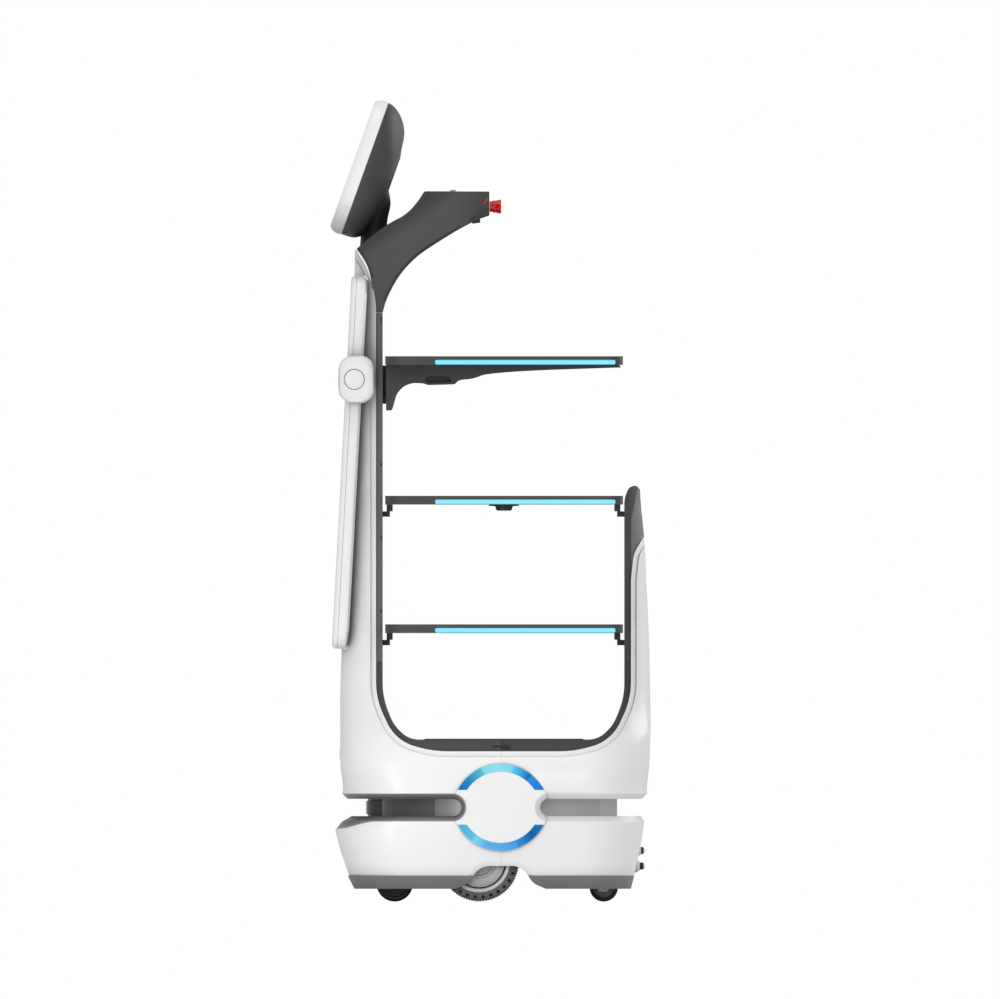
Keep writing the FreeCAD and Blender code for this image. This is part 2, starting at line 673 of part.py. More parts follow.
core_height = "Sizes.SlotTall"
core_mid = cell("SkirtTop") + cell("SlotTall") / 2
core_front = cell("CoreFront")
core_rear = -cell("CoreRear")
front_core_plan = [(seam, -core_half, 0), (front_end + 10, -core_half, 30), (core_front, -core_half + 95, 60),
                   (core_front, core_half - 95, 60), (front_end + 10, core_half, 30), (seam, core_half, 0)]
rear_core_plan = [(core_rear, -core_half + 60, 40), (rear_end - 10, -core_half, 30), (seam, -core_half, 0),
                  (seam, core_half, 0), (rear_end - 10, core_half, 30), (core_rear, core_half - 60, 40)]
lidar_x = cell("LidarFront") - cell("LidarRadius")
lidar_seat = doc.addObject("Part::Cylinder", "lidar_seat")
lidar_seat.setExpression("Radius", "Sizes.LidarRadius + Sizes.SeatGap")
lidar_seat.setExpression("Height", "Sizes.SlotTall + 2")
place(lidar_seat, x="Sizes.LidarFront - Sizes.LidarRadius", z="Sizes.SkirtTop - 1")
front_core_block = prism("front_core_block", "plan", front_core_plan, core_height, core_mid)
node("front_core", cut("front_core", front_core_block, lidar_seat))
node("rear_core", prism("rear_core", "plan", rear_core_plan, core_height, core_mid))
lidar_radius = cell("LidarRadius")
slot_tall = cell("SlotTall")
lidar_section = [(0, 0, 0), (lidar_radius - 3, 0, 0), (lidar_radius - 3, 3, 0), (lidar_radius, 4, 0),
                 (lidar_radius, slot_tall - 4, 0), (lidar_radius - 3, slot_tall - 3, 0),
                 (lidar_radius - 3, slot_tall, 0), (0, slot_tall, 0)]
node("lidar", turned("lidar", "XZ_Plane", "V_Axis", lidar_section,
                     x="Sizes.LidarFront - Sizes.LidarRadius", z="Sizes.SkirtTop"))

# Side discs between the slots, with the light arcs let into their faces.
front_slot = slot_prism("front_slot", front_end, 1)
rear_slot = slot_prism("rear_slot", rear_end, -1)
arc_cut = cell("ArcCut")
arc_wide = cell("ArcWide")
arc_deep = 3
discs = []
arcs = []
front_slot_tool = prism("front_slot_tool", "side", front_slot, far_out)
rear_slot_tool = prism("rear_slot_tool", "side", rear_slot, far_out)
disc_radius = cell("DiscRadius")
disc_back = disc_face - cell("DiscThick")
bridge_lap = 14
for side, sign in (("left", 1), ("right", -1)):
    plate = oval_prism("disc_plate_" + side, disc_radius, disc_back, disc_face, sign)
    bridge_rear = rear_end - bridge_lap
    bridge_front = front_end + bridge_lap
    bridge_plan = [(bridge_rear, sign * core_half, 0), (bridge_front, sign * core_half, 0),
                   (bridge_front, sign * disc_back, 0), (bridge_rear, sign * disc_back, 0)]
    bridge = prism("disc_bridge_" + side, "plan", bridge_plan, core_height, core_mid)
    arc_back = disc_face - arc_deep
    arc_block = oval_prism("arc_outer_" + side, disc_radius - 0.8, arc_back, disc_face + 0.4, sign)
    arc_hole = oval_prism("arc_inner_" + side, disc_radius - arc_wide, disc_face - 20, disc_face + 20, sign)
    ring = cut("arc_ring_" + side, arc_block, arc_hole,
               slab("arc_gap_" + side, disc_z - arc_cut, disc_z + arc_cut))
    arcs.append(ring)
    disc_body = fuse("disc_body_" + side, plate, bridge)
    flares = []
    for end, points in (("front", front_slot), ("rear", rear_slot)):
        name = "%s_slot_flare_%s" % (end, side)
        flares.append(loft(name, [sketch(name + "_inner", "side", points, -sign * (disc_face - bevel)),
                                  sketch(name + "_outer", "side", grown(points, 2 * bevel),
                                         -sign * (disc_face + bevel))], True))
    discs.append(cut("disc_" + side, disc_body, front_slot_tool, rear_slot_tool, ring, *flares))
node("side_discs", doc.addObject("Part::Compound", "side_discs")).Links = discs
node("light_arcs", doc.addObject("Part::Compound", "light_arcs")).Links = arcs

# Deck mat.
mat = body("deck_mat")
mat_outline = [(-167, -225, 12), (119, -225, 12), (119, 225, 12), (-167, 225, 12)]
pad(mat, "deck_mat_pad", body_sketch(mat, "deck_mat_outline", "XY_Plane", mat_outline), "1.5")
node("deck_mat", place(mat, z="Sizes.DeckHeight"))

# Trays: rounded plates with a dished top, light strips let into both long edges, hooks under them.
tray_front = cell("ColumnInner") - 2 * cell("TrayGap")
tray_rear = -cell("PostInner") + cell("TrayGap")
tray_half = cell("TrayHalf")
tray_corner = cell("TrayCorner")
light_front = cell("LightFront")
light_rear = -cell("LightRear")
light_deep = cell("LightDeep")
tray_plan = [(tray_rear, -tray_half, tray_corner), (tray_front, -tray_half, tray_corner),
             (tray_front, tray_half, tray_corner), (tray_rear, tray_half, tray_corner)]
peg_places = ((1, "FrontPegSide"), (-1, "RearPegSide"))
lights = []


def tray(label, top, hooks):
    """One tray, modelled with its top face at zero and then lifted to its height."""
    made = body(label)
    plate = pad(made, label + "_plate", body_sketch(made, label + "_plan", "XY_Plane", tray_plan),
                "Sizes.TrayThick", back=True)
    dish = body_sketch(made, label + "_dish", "XY_Plane", grown(tray_plan, -cell("TrayRim")))
    pocket(made, label + "_dished", dish, "Sizes.TrayDish")
    for sign in (1, -1):
        floor = sign * (tray_half - light_deep)
        past = sign * (tray_half + 9)
        grooves = [(light_rear, floor, 0), (light_front, floor, 0), (light_front, past, 0),
                   (light_rear, past, 0)]
        side = "left" if sign > 0 else "right"
        groove = body_sketch(made, "%s_groove_%s" % (label, side), "XY_Plane", grooves, -cell("LightDrop"))
        pocket(made, "%s_grooved_%s" % (label, side), groove, "Sizes.LightTall")
    if hooks:
        peg_top = -cell("PegDrop")
        for end, side_name in peg_places:
            wall_x = cell("ColumnInner") if end > 0 else -cell("PostInner")
            tip = wall_x - end * (cell("PegLong") + 5)
            near = wall_x - end * (cell("PegLong") - 6)
            for sign in (1, -1):
                middle = sign * cell(side_name)
                wide = cell("PegWide") / 2
                points = [(min(tip, near), middle - wide, 1.5), (max(tip, near), middle - wide, 1.5),
                          (max(tip, near), middle + wide, 1.5), (min(tip, near), middle + wide, 1.5)]
                name = "%s_hook_%d_%d" % (label, end, sign)
                foot = body_sketch(made, name, "XY_Plane", points, peg_top)
                pad(made, name + "_pad", foot, "Sizes.PegDrop - Sizes.TrayThick + 1")
    node(label, place(made, z="Sizes." + top))
    for sign in (1, -1):
        strip = doc.addObject("Part::Box", "%s_light_%s" % (label, "left" if sign > 0 else "right"))
        strip.setExpression("Length", "Sizes.LightFront + Sizes.LightRear")
        strip.setExpression("Width", "Sizes.LightDeep")
        strip.setExpression("Height", "Sizes.LightTall")
        across = "Sizes.TrayHalf - Sizes.LightDeep" if sign > 0 else "-Sizes.TrayHalf"
        place(strip, x="-Sizes.LightRear", y=across, z="Sizes.%s - Sizes.LightDrop - Sizes.LightTall" % top)
        lights.append(strip)


tray("tray_1", "TrayTopA", False)
tray("tray_2", "TrayTopB", True)
tray("tray_3", "TrayTopC", True)
node("tray_lights", doc.addObject("Part::Compound", "tray_lights")).Links = lights

# Pegs on the column and the post; the hooks of the two lower trays rest on them.
pegs = []
for top in ("TrayTopB", "TrayTopC"):
    for end, side_name in peg_places:
        for sign in (1, -1):
            peg = doc.addObject("Part::Box", "peg_%s_%d_%d" % (top, end, sign))
            peg.setExpression("Length", "Sizes.PegLong")
            peg.setExpression("Width", "Sizes.PegWide")
            peg.setExpression("Height", "Sizes.PegTall")
            along = "Sizes.ColumnInner - Sizes.PegLong" if end > 0 else "-Sizes.PostInner"
            place(peg, x=along, y="%d * Sizes.%s - Sizes.PegWide / 2" % (sign, side_name),
                  z="Sizes.%s - Sizes.PegDrop - Sizes.PegTall" % top)
            pegs.append(peg)
node("tray_pegs", doc.addObject("Part::Compound", "tray_pegs")).Links = pegs

# Bracket that carries the upper tray from the column; its foot stands off below the seat.
bracket_top = cell("TrayTopA") - cell("TrayThick")
back = cell("ColumnInner")
bracket_outline = [(back, bracket_top, 0), (-232, bracket_top, 0), (-232, bracket_top - 4.5, 0),
                   (-62, bracket_top - 11, 60), (-6, bracket_top - 13, 0), (18.5, bracket_top - 19, 8),
                   (50, bracket_top - 26, 10), (66, bracket_top - 36, 8), (118, bracket_top - 36, 6),
                   (136, bracket_top - 32, 20), (158, bracket_top - 34, 26),
                   (back - 17, bracket_top - 82, 60), (back - 17, bracket_top - 82.4, 0),
                   (back, bracket_top - 82.4, 0)]
bracket = prism("tray_1_bracket_block", "side", bracket_outline[::-1], "2 * Sizes.BracketHalf")
grip_outline = [(68, bracket_top - 29.5, 4), (119, bracket_top - 29.5, 4), (112, bracket_top - 21, 4),
                (78, bracket_top - 21, 4)]
grip = prism("tray_1_grip", "side", grip_outline, far_out)
grip_core = doc.addObject("Part::Box", "tray_1_grip_core")
grip_core.setExpression("Length", "300")
grip_core.setExpression("Width", "2 * Sizes.BracketHalf - 40")
grip_core.setExpression("Height", "300")
place(grip_core, y="20 - Sizes.BracketHalf", z="Sizes.TrayTopA - 200")
gap_outline = [(back - cell("BracketGap"), bracket_top - 90, 0), (back + 10, bracket_top - 90, 0),
               (back + 10, bracket_top - 70, 0), (back - cell("BracketGap"), bracket_top - 70, 0)]
stand_off = prism("tray_1_stand_off", "side", gap_outline, far_out)
node("tray_1_bracket", cut("tray_1_bracket", bracket, stand_off, cut("tray_1_grips", grip, grip_core)))

# Head: white rim, dark domed back, cover glass; modelled upright and leaned back.
head_tall = cell("HeadTall")
head_half = cell("HeadHalf")
rim = cell("HeadRim")


def head_sections(owner, name, table):
    """Sections of the head as (depth forward, low, high, half width, corner radius)."""
    result = []
    for number, (forward, low, high, half, corner) in enumerate(table, start=1):
        outline = [(-half, low, corner), (half, low, corner), (half, high, corner), (-half, high, corner)]
        result.append(body_sketch(owner, "%s_section%d" % (name, number), "YZ_Plane", outline, forward))
    return result


def head_piece(made):
    """Put a piece of the head in its place."""
    return lean(place(made, x="Sizes.HeadX", z="Sizes.HeadZ"), "HeadLean")


top_edge = head_tall / 2
rim_table = [(0, -top_edge + 1.4, top_edge - 1.4, head_half - 1.4, 58),
             (rim * 0.4, -top_edge, top_edge, head_half, 60),
             (rim - 6, -top_edge + 3, top_edge - 3, head_half - 3, 56),
             (rim, -top_edge + 8.5, top_edge - 8.5, head_half - 8.5, 50)]
rim_body = body("head_rim")
body_loft(rim_body, "head_rim_loft", head_sections(rim_body, "head_rim", rim_table), True)
glass_border = cell("GlassMargin") + 8.5
glass_half = head_half - glass_border
glass_tall = top_edge - glass_border
glass_points = box_outline(-glass_half, glass_half, glass_tall, 38)
glass_seat = body_sketch(rim_body, "head_glass_seat", "YZ_Plane", glass_points, rim)
pocket(rim_body, "head_glass_pocket", glass_seat, "Sizes.GlassThick", back=False)
node("head_rim", head_piece(rim_body))
glass = body("head_glass")
pad(glass, "head_glass_pad", body_sketch(glass, "head_glass_outline", "YZ_Plane", glass_points, rim),
    "Sizes.GlassThick", back=True)
node("head_glass", head_piece(glass))
deep = cell("HeadDeep")
dome_table = [(0, -top_edge + 1.4, top_edge - 1.4, head_half - 1.4, 58),
              (-deep * 0.3, -top_edge + 2, top_edge - 7, head_half - 7, 62),
              (-deep * 0.66, -top_edge + 12, top_edge - 25, head_half - 24, 66),
              (-deep * 0.88, -top_edge + 52, top_edge - 50, head_half - 52, 62),
              (-deep, -top_edge + 104, top_edge - 88, head_half - 100, 26)]
dome = body("head_back")
body_loft(dome, "head_back_loft", head_sections(dome, "head_back", dome_table))
node("head_back", head_piece(dome))

# Neck between the top arm and the back of the head.
neck_x = cell("NeckX")
neck_table = [(1178, -25.5, 26, 52, 24), (1216, -23.5, 24.5, 44, 22), (1232, -25, 24, 46, 22),
              (1250, -29, 22, 48, 23), (1272, -28, 18, 48, 20), (1290, -25, 4, 44, 12)]
neck_sections = []
for height, rear, front, half, corner in neck_table:
    outline = box_outline(neck_x + rear, neck_x + front, half, corner)
    neck_sections.append(sketch("neck_at_%d" % height, "plan", outline, height))
neck_solid = loft("neck_solid", neck_sections)
node("neck", cut("neck", neck_solid, dome, arm_block))

# Front display: white back half, white frame and black cover glass.
back_half = panel_piece("display_back", [(frame_deep, 0.4), (thick - 9, 0), (thick - 4, 2), (thick, 8)])
node("display_back", panel_place(back_half))
front_half = panel_piece("display_frame", [(0, 6), (2, 2.5), (5, 0.6), (frame_deep, 0)])
margin = cell("GlassMargin")
screen = box_outline(-panel_half + margin, panel_half - margin, panel_tall - margin, panel_corner - 10)
pocket(front_half, "display_glass_pocket", body_sketch(front_half, "display_glass_seat", "YZ_Plane", screen),
       "Sizes.GlassThick")
node("display_frame", panel_place(front_half))
screen_glass = body("display_glass")
pad(screen_glass, "display_glass_pad", body_sketch(screen_glass, "display_glass_outline", "YZ_Plane", screen),
    "Sizes.GlassThick", back=True)
node("display_glass", panel_place(screen_glass))

# Side clips that wrap round the edges of the display, each with a round cap let into it.
clip_tall = cell("ClipTall") / 2
clip_deep = cell("ClipDeep") / 2
clip_out = cell("ClipOut")
front_skin = doc.getObject("front_shell_skin")
cap_radius = cell("CapRadius")
caps = []
clips = []
for side, sign in (("left", 1), ("right", -1)):
    clip = body("clip_" + side)
    sections = []
    for out, inside in ((clip_out - 42, 3), (clip_out - 12, 0), (clip_out - 4, 3.5), (clip_out, 11)):
        outline = box_outline(-clip_deep + inside, clip_deep - inside, clip_tall - inside, 27 - inside)
        sections.append(body_sketch(clip, "clip_%s_section%d" % (side, len(sections)), "XZ_Plane", outline,
                                    -sign * out))
    body_loft(clip, "clip_%s_loft" % side, sections, True)
    place(clip, x="Sizes.ClipX", z="Sizes.ClipZ")
    cap_seat = doc.addObject("Part::Cylinder", "cap_seat_" + side)
    cap_seat.Placement = Placement(Vector(0, sign * (clip_out - 3), 0), Rotation(Vector(1, 0, 0), -90 * sign))
    cap_seat.setExpression("Radius", "Sizes.CapRadius + 1.2")
    cap_seat.setExpression("Height", "20")
    place(cap_seat, x="Sizes.CapX", z="Sizes.ClipZ")
    cap_section = [(0, 0, 0), (cap_radius, 0, 0), (cap_radius, 3.2, 1.2), (cap_radius - 6, 4.8, 20),
                   (0, 5, 0)]
    cap = turned("cap_" + side, "XZ_Plane", "V_Axis", cap_section)
    cap.Placement = cap_seat.Placement
    place(cap, x="Sizes.CapX", z="Sizes.ClipZ")
    caps.append(cap)
    clips.append(cut("clip_cut_" + side, clip, panel, front_skin, cap_seat))
node("side_clips", doc.addObject("Part::Compound", "side_clips")).Links = clips
node("clip_caps", doc.addObject("Part::Compound", "clip_caps")).Links = caps

# Emergency stop button at the end of the top arm.
knob = cell("EstopRadius")
knob_long = cell("EstopLong")
knob_section = [(0, 0, 0), (0, 9.6, 0), (-5.5, 9.6, 0), (-6.5, 11.2, 0), (-9, 11.2, 0), (-10, 10.6, 0),
                (-knob_long + 3, knob, 1), (-knob_long, knob - 1, 1), (-knob_long, 0, 0)]
node("estop_button", turned("estop_button", "XZ_Plane", "H_Axis", knob_section, x="Sizes.ArmEnd",
                            z="Sizes.EstopHeight"))

# Small cameras: on top of the arm, under its end, and under the middle tray.
ceiling_eye = turned("ceiling_eye", "XZ_Plane", "V_Axis", [(0, 0, 0), (6, 0, 0), (5, 1.6, 0), (0, 2.2, 0)],
                     z="Sizes.ArmTop")
ceiling_eye.Placement.Base = Vector(67.5, 0, cell("ArmTop"))
arm_eye_outline = [(18.5, 1222, 1), (33, 1220, 1), (36, 1236, 0), (18.5, 1236, 0)]
arm_eye = cut("arm_eye", prism("arm_eye_block", "side", arm_eye_outline, "30"), arm_block)
tray_eye_section = [(0, 0, 0), (27.8, 0, 0), (26.5, -2.5, 0), (16, -3, 0), (14.2, -9.5, 0), (11.5, -11, 0),
                    (0, -11, 0)]
tray_eye = turned("tray_eye", "XZ_Plane", "V_Axis", tray_eye_section, z="Sizes.TrayTopB - Sizes.TrayThick")
tray_eye.Placement.Base.x = -24.3
node("cameras", doc.addObject("Part::Compound", "cameras")).Links = [ceiling_eye, arm_eye, tray_eye]


# Chassis plate inside the skirt, with wells for the drive wheels.
def at_height(rows, height):
    """Face, half width and corner of a ruled moulding at a height between two of its rows."""
    for low, high in zip(rows, rows[1:]):
        if low[0] <= height <= high[0]:
            share = (height - low[0]) / (high[0] - low[0])
            return [a + (b - a) * share for a, b in zip(low[1:], high[1:])]
    return list(rows[-1][1:])


plate_under = cell("ChassisTop") - cell("ChassisThick")
gap = wall + cell("SeatGap")
front_face, front_half, front_corner = at_height(front_skirt_rows, plate_under)
rear_face, rear_half, rear_corner = at_height(rear_skirt_rows, plate_under)
plate_half = min(front_half, rear_half) - gap
plate_front = front_face - gap
plate_rear = gap - rear_face
inner_front = front_corner - wall
inner_rear = rear_corner - wall
plate_outline = [(plate_rear, -plate_half, inner_rear), (plate_front, -plate_half, inner_front),
                 (plate_front, plate_half, inner_front), (plate_rear, plate_half, inner_rear)]
chassis = body("chassis_plate")
chassis_outline = body_sketch(chassis, "chassis_outline", "XY_Plane", plate_outline)
pad(chassis, "chassis_pad", chassis_outline, "Sizes.ChassisThick")
wheel_side = cell("BaseHalf") - cell("WheelInset")
wheel_half = cell("WheelWide") / 2
well_room = 8
for side, sign in (("left", 1), ("right", -1)):
    well_half = cell("WheelRadius") + well_room
    well = [(cell("WheelX") + across, sign * wheel_side + along, well_room)
            for across, along, radius in box_outline(-well_half, well_half, wheel_half + well_room, 0)]
    pocket(chassis, "chassis_well_" + side, body_sketch(chassis, "well_outline_" + side, "XY_Plane", well),
           "Sizes.ChassisThick + 1", back=True)
node("chassis_plate", place(chassis, z="Sizes.ChassisTop - Sizes.ChassisThick"))

# Battery, a sealed block on the chassis plate.
battery = doc.addObject("Part::Box", "battery_pack")
battery.setExpression("Length", "Sizes.BatteryLong")
battery.setExpression("Width", "2 * Sizes.BatteryHalf")
battery.setExpression("Height", "Sizes.SkirtTop - Sizes.SkirtWall - Sizes.ChassisTop - 3")
node("battery_pack", place(battery, x="-Sizes.BatteryRear", y="-Sizes.BatteryHalf", z="Sizes.ChassisTop"))

# Drive wheels: tyre, motor hub, and the fixed bracket with its axle.
axle = cell("AxleRadius")
fit = cell("RunFit")
radius = cell("WheelRadius")
rim_radius = cell("RimRadius")
brackets = []
for side, sign in (("left", 1), ("right", -1)):
    tyre_section = [(rim_radius, -19, 0), (rim_radius + 6, -wheel_half, 0), (radius - 5, -wheel_half, 0),
                    (radius, -wheel_half + 9, 0), (radius, wheel_half - 9, 0), (radius - 5, wheel_half, 0),
                    (rim_radius + 6, wheel_half, 0), (rim_radius, 19, 0)]
    wheel_place = {"x": "Sizes.WheelX", "y": "%d * (Sizes.BaseHalf - Sizes.WheelInset)" % sign,
                   "z": "Sizes.WheelRadius"}
    tyre = turned("drive_tyre_" + side, "XY_Plane", "V_Axis", tyre_section, **wheel_place)
    node("drive_tyre_" + side, tyre)
    hub_rim = rim_radius - cell("SeatGap")
    hub_section = [(axle + fit, -18), (44, -18), (48, -20.5), (hub_rim, -20.5), (hub_rim, 19.5), (51, 20.5),
                   (47.7, 18), (46.5, 15.5), (40, 14), (33, 15), (30, 17.5), (22, 18.5), (10, 19.5),
                   (0, 19.5), (0, 10), (axle + fit, 10)]
    hub_points = [(across, sign * along, 0) for across, along in hub_section]
    hub = turned("drive_hub_" + side, "XY_Plane", "V_Axis", hub_points, **wheel_place)
    node("drive_hub_" + side, hub)
    inner_face = wheel_side - 18
    bracket_back = inner_face - 18
    bracket_body = body("drive_bracket_" + side)
    arm_points = [(-16, -18, 10), (16, -18, 10), (34, plate_under - radius, 0),
                  (-34, plate_under - radius, 0)]
    arm_profile = body_sketch(bracket_body, "drive_bracket_outline_" + side, "XZ_Plane", arm_points,
                              -sign * bracket_back)
    pad(bracket_body, "drive_bracket_pad_" + side, arm_profile, "8", back=sign > 0)
    collar_face = -sign * (bracket_back + 7)
    collar = body_sketch(bracket_body, "drive_collar_outline_" + side, "XZ_Plane", (), collar_face,
                         ((0, 0, axle + 6),))
    pad(bracket_body, "drive_collar_pad_" + side, collar, "10.5", back=sign > 0)
    stub = body_sketch(bracket_body, "drive_axle_outline_" + side, "XZ_Plane", (), collar_face,
                       ((0, 0, axle),))
    pad(bracket_body, "drive_axle_pad_" + side, stub, "37", back=sign > 0)
    brackets.append(place(bracket_body, x="Sizes.WheelX", z="Sizes.WheelRadius"))
node("drive_brackets", doc.addObject("Part::Compound", "drive_brackets")).Links = brackets

# Castors: a fixed boss with a plain bore, a swivelling fork with stem and wheel pin, and a wheel.
# Columns: name, sign along X, wheel centre, wheel radius, trail.
CASTORS = (("front", "Sizes.FrontCastorX", cell("FrontCastorX"), "FrontCastorRadius", "FrontTrail"),
           ("rear", "-Sizes.RearCastorX", -cell("RearCastorX"), "RearCastorRadius", "RearTrail"))
castor_half = cell("CastorWide") / 2
leg_in = castor_half + 5
leg_out = leg_in + 3
pin = cell("PinRadius")
stem = cell("StemRadius")
mounts = []
for end, where, centre, radius_name, trail_name in CASTORS:
    size = cell(radius_name)
    trail = cell(trail_name)
    crown = size + 10.5
    for side, sign in (("left", 1), ("right", -1)):
        label = "%s_%s" % (end, side)
        across = "%d * (Sizes.BaseHalf - Sizes.CastorInset)" % sign
        fork = body("castor_fork_" + label)
        outline = [(-8, -8, 6), (8, -8, 6), (trail + 15, size - 2, 5), (trail + 15, crown, 2),
                   (trail - 24, crown, 5), (-11, size * 0.4, 10)]
        pad(fork, "fork_cheeks_" + label, body_sketch(fork, "fork_side_" + label, "XZ_Plane", outline),
            "Sizes.CastorWide + 16", midplane=True)
        room = [(-size - 60, -60, 0), (size + 60, -60, 0), (size + 60, size * 0.2, 0),
                (size * 0.75 + 5, size * 0.78 + 2, 6), (size * 0.3, size + 5, 12),
                (-size * 0.3, size + 5, 12), (-size * 0.75 - 5, size * 0.78 + 2, 6),
                (-size - 60, size * 0.2, 0)]
        pocket(fork, "fork_gap_" + label, body_sketch(fork, "fork_room_" + label, "XZ_Plane", room),
               "Sizes.CastorWide + 10", midplane=True)
        pin_circle = body_sketch(fork, "fork_pin_circle_" + label, "XZ_Plane", (), 0, ((0, 0, pin),))
        pad(fork, "fork_pin_" + label, pin_circle, "Sizes.CastorWide + 12", midplane=True)
        stem_circle = body_sketch(fork, "fork_stem_circle_" + label, "XY_Plane", (), crown,
                                  ((trail, 0, stem),))
        pad(fork, "fork_stem_" + label, stem_circle,
            "Sizes.ChassisTop - Sizes.ChassisThick - 2 * Sizes.%s - 12.5" % radius_name)
        node("castor_fork_" + label, place(fork, x=where, y=across, z="Sizes." + radius_name))
        wheel_section = [(pin + fit, -leg_in + 0.5, 0), (8, -leg_in + 0.5, 0), (8, -castor_half + 0.5, 0),
                         (size - 3, -castor_half, 0), (size, -castor_half + 3.5, 0),
                         (size, castor_half - 3.5, 0), (size - 3, castor_half, 0), (8, castor_half - 0.5, 0),
                         (8, leg_in - 0.5, 0), (pin + fit, leg_in - 0.5, 0)]
        node("castor_wheel_" + label, turned("castor_wheel_" + label, "XY_Plane", "V_Axis", wheel_section,
                                             x=where, y=across, z="Sizes." + radius_name))
        boss_low = size + crown + 0.4
        boss_section = [(stem + fit, boss_low, 0), (14, boss_low, 0), (15, plate_under - 4, 0),
                        (26, plate_under - 4, 0), (26, plate_under, 0), (stem + fit, plate_under, 0)]
        mounts.append(turned("castor_mount_" + label, "XZ_Plane", "V_Axis", boss_section,
                             x="%s + Sizes.%s" % (where, trail_name), y=across))
node("castor_mounts", doc.addObject("Part::Compound", "castor_mounts")).Links = mounts

# Charging contacts on the rear face: white boss, dark ring and metal tip, one above the other.
rear_skin = doc.getObject("rear_skirt_skin")
contact = cell("ContactRadius")
rings = []
tips = []
bosses = []
for label, height_name, boss_end in (("upper", "ContactUpper", 6.5), ("lower", "ContactLower", 9)):
    length = cell("ContactOut")
    tip_section = [(-length, 0, 0), (-length, contact - 2.6, 0), (-length + 1, contact - 2, 0),
                   (-length + boss_end, contact - 2, 0), (-length + boss_end, 0, 0)]
    tips.append(turned("contact_tip_" + label, "XZ_Plane", "H_Axis", tip_section, z="Sizes." + height_name))
    ring_section = [(-length + 2.2, contact - 1.8, 0), (-length + 2.2, contact - 0.6, 0),
                    (-length + 3, contact, 0), (-length + boss_end, contact, 0),
                    (-length + boss_end, contact - 1.8, 0)]
    where = "Sizes." + height_name
    rings.append(turned("contact_ring_" + label, "XZ_Plane", "H_Axis", ring_section, z=where))
    boss_section = [(-length + boss_end, 0, 0), (-length + boss_end, contact + 1.2, 0),
                    (-length + 14, contact + 5, 0), (-length + 24, contact + 6, 0), (-length + 24, 0, 0)]
    boss = turned("contact_boss_turn_" + label, "XZ_Plane", "H_Axis", boss_section, z=where)
    bosses.append(cut("contact_boss_" + label, boss, rear_skin))
node("charge_tips", doc.addObject("Part::Compound", "charge_tips")).Links = tips
node("charge_rings", doc.addObject("Part::Compound", "charge_rings")).Links = rings
node("charge_bosses", doc.addObject("Part::Compound", "charge_bosses")).Links = bosses

doc.recompute()
os.makedirs("parts", exist_ok=True)
bad = 0
for made in doc.Objects:
    if "Invalid" in made.State or "Error" in made.State:
        print("failed object:", made.Name, made.State)
        bad += 1
for made in nodes:
    shape = made.Shape
    if shape.isNull() or not shape.isValid():
        print("bad shape:", made.Label)
        bad += 1
        continue
    box = shape.BoundBox
    print("%-18s solids %2d faces %4d  x %8.1f %8.1f  y %8.1f %8.1f  z %8.1f %8.1f  volume %.0f" % (
        made.Label, len(shape.Solids), len(shape.Faces), box.XMin, box.XMax, box.YMin, box.YMax,
        box.ZMin, box.ZMax, shape.Volume / 1000))
    shape.exportStep("parts/%s.step" % made.Label)
if bad:
    raise SystemExit("%d objects failed" % bad)
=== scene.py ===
import math

import bmesh
import bpy
from mathutils import Matrix, Vector
from mathutils.bvhtree import BVHTree


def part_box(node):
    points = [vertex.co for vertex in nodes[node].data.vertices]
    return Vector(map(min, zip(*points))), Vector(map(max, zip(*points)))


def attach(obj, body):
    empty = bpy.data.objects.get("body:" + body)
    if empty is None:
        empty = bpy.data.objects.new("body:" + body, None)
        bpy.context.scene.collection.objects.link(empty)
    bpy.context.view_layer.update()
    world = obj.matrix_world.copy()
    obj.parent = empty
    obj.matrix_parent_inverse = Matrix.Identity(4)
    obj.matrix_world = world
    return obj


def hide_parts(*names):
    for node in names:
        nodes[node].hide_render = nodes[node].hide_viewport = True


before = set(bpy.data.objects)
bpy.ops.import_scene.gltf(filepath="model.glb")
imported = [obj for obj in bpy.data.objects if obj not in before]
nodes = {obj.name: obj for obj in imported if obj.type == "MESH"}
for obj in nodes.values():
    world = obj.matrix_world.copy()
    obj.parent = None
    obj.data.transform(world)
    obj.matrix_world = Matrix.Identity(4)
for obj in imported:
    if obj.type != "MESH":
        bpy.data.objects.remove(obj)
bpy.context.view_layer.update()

# Tray-carrying delivery robot. +X is forward (left in the picture), +Y the robot's left, +Z up, metres.

# The studio: white all round, a pale floor under the wheels, one broad lamp high at the front left
# and soft ones from the camera's side and from behind. The camera looks straight at the robot's
# left side, with no perspective, as the picture does.
def linear(code, alpha=1.0):
    """Linear colour of an sRGB hex code."""
    levels = [int(code[at:at + 2], 16) / 255 for at in (1, 3, 5)]
    return tuple(v / 12.92 if v <= 0.04045 else ((v + 0.055) / 1.055) ** 2.4 for v in levels) + (alpha,)


def add(material, kind, inputs=(), **settings):
    """A node of a material with its settings, and for each input a value or the socket that feeds it."""
    tree = material.node_tree
    made = tree.nodes.new("ShaderNode" + kind)
    for name, value in settings.items():
        setattr(made, name, value)
    for name, value in dict(inputs).items():
        if isinstance(value, bpy.types.NodeSocket):
            tree.links.new(value, made.inputs[name])
        else:
            made.inputs[name].default_value = value
    return made


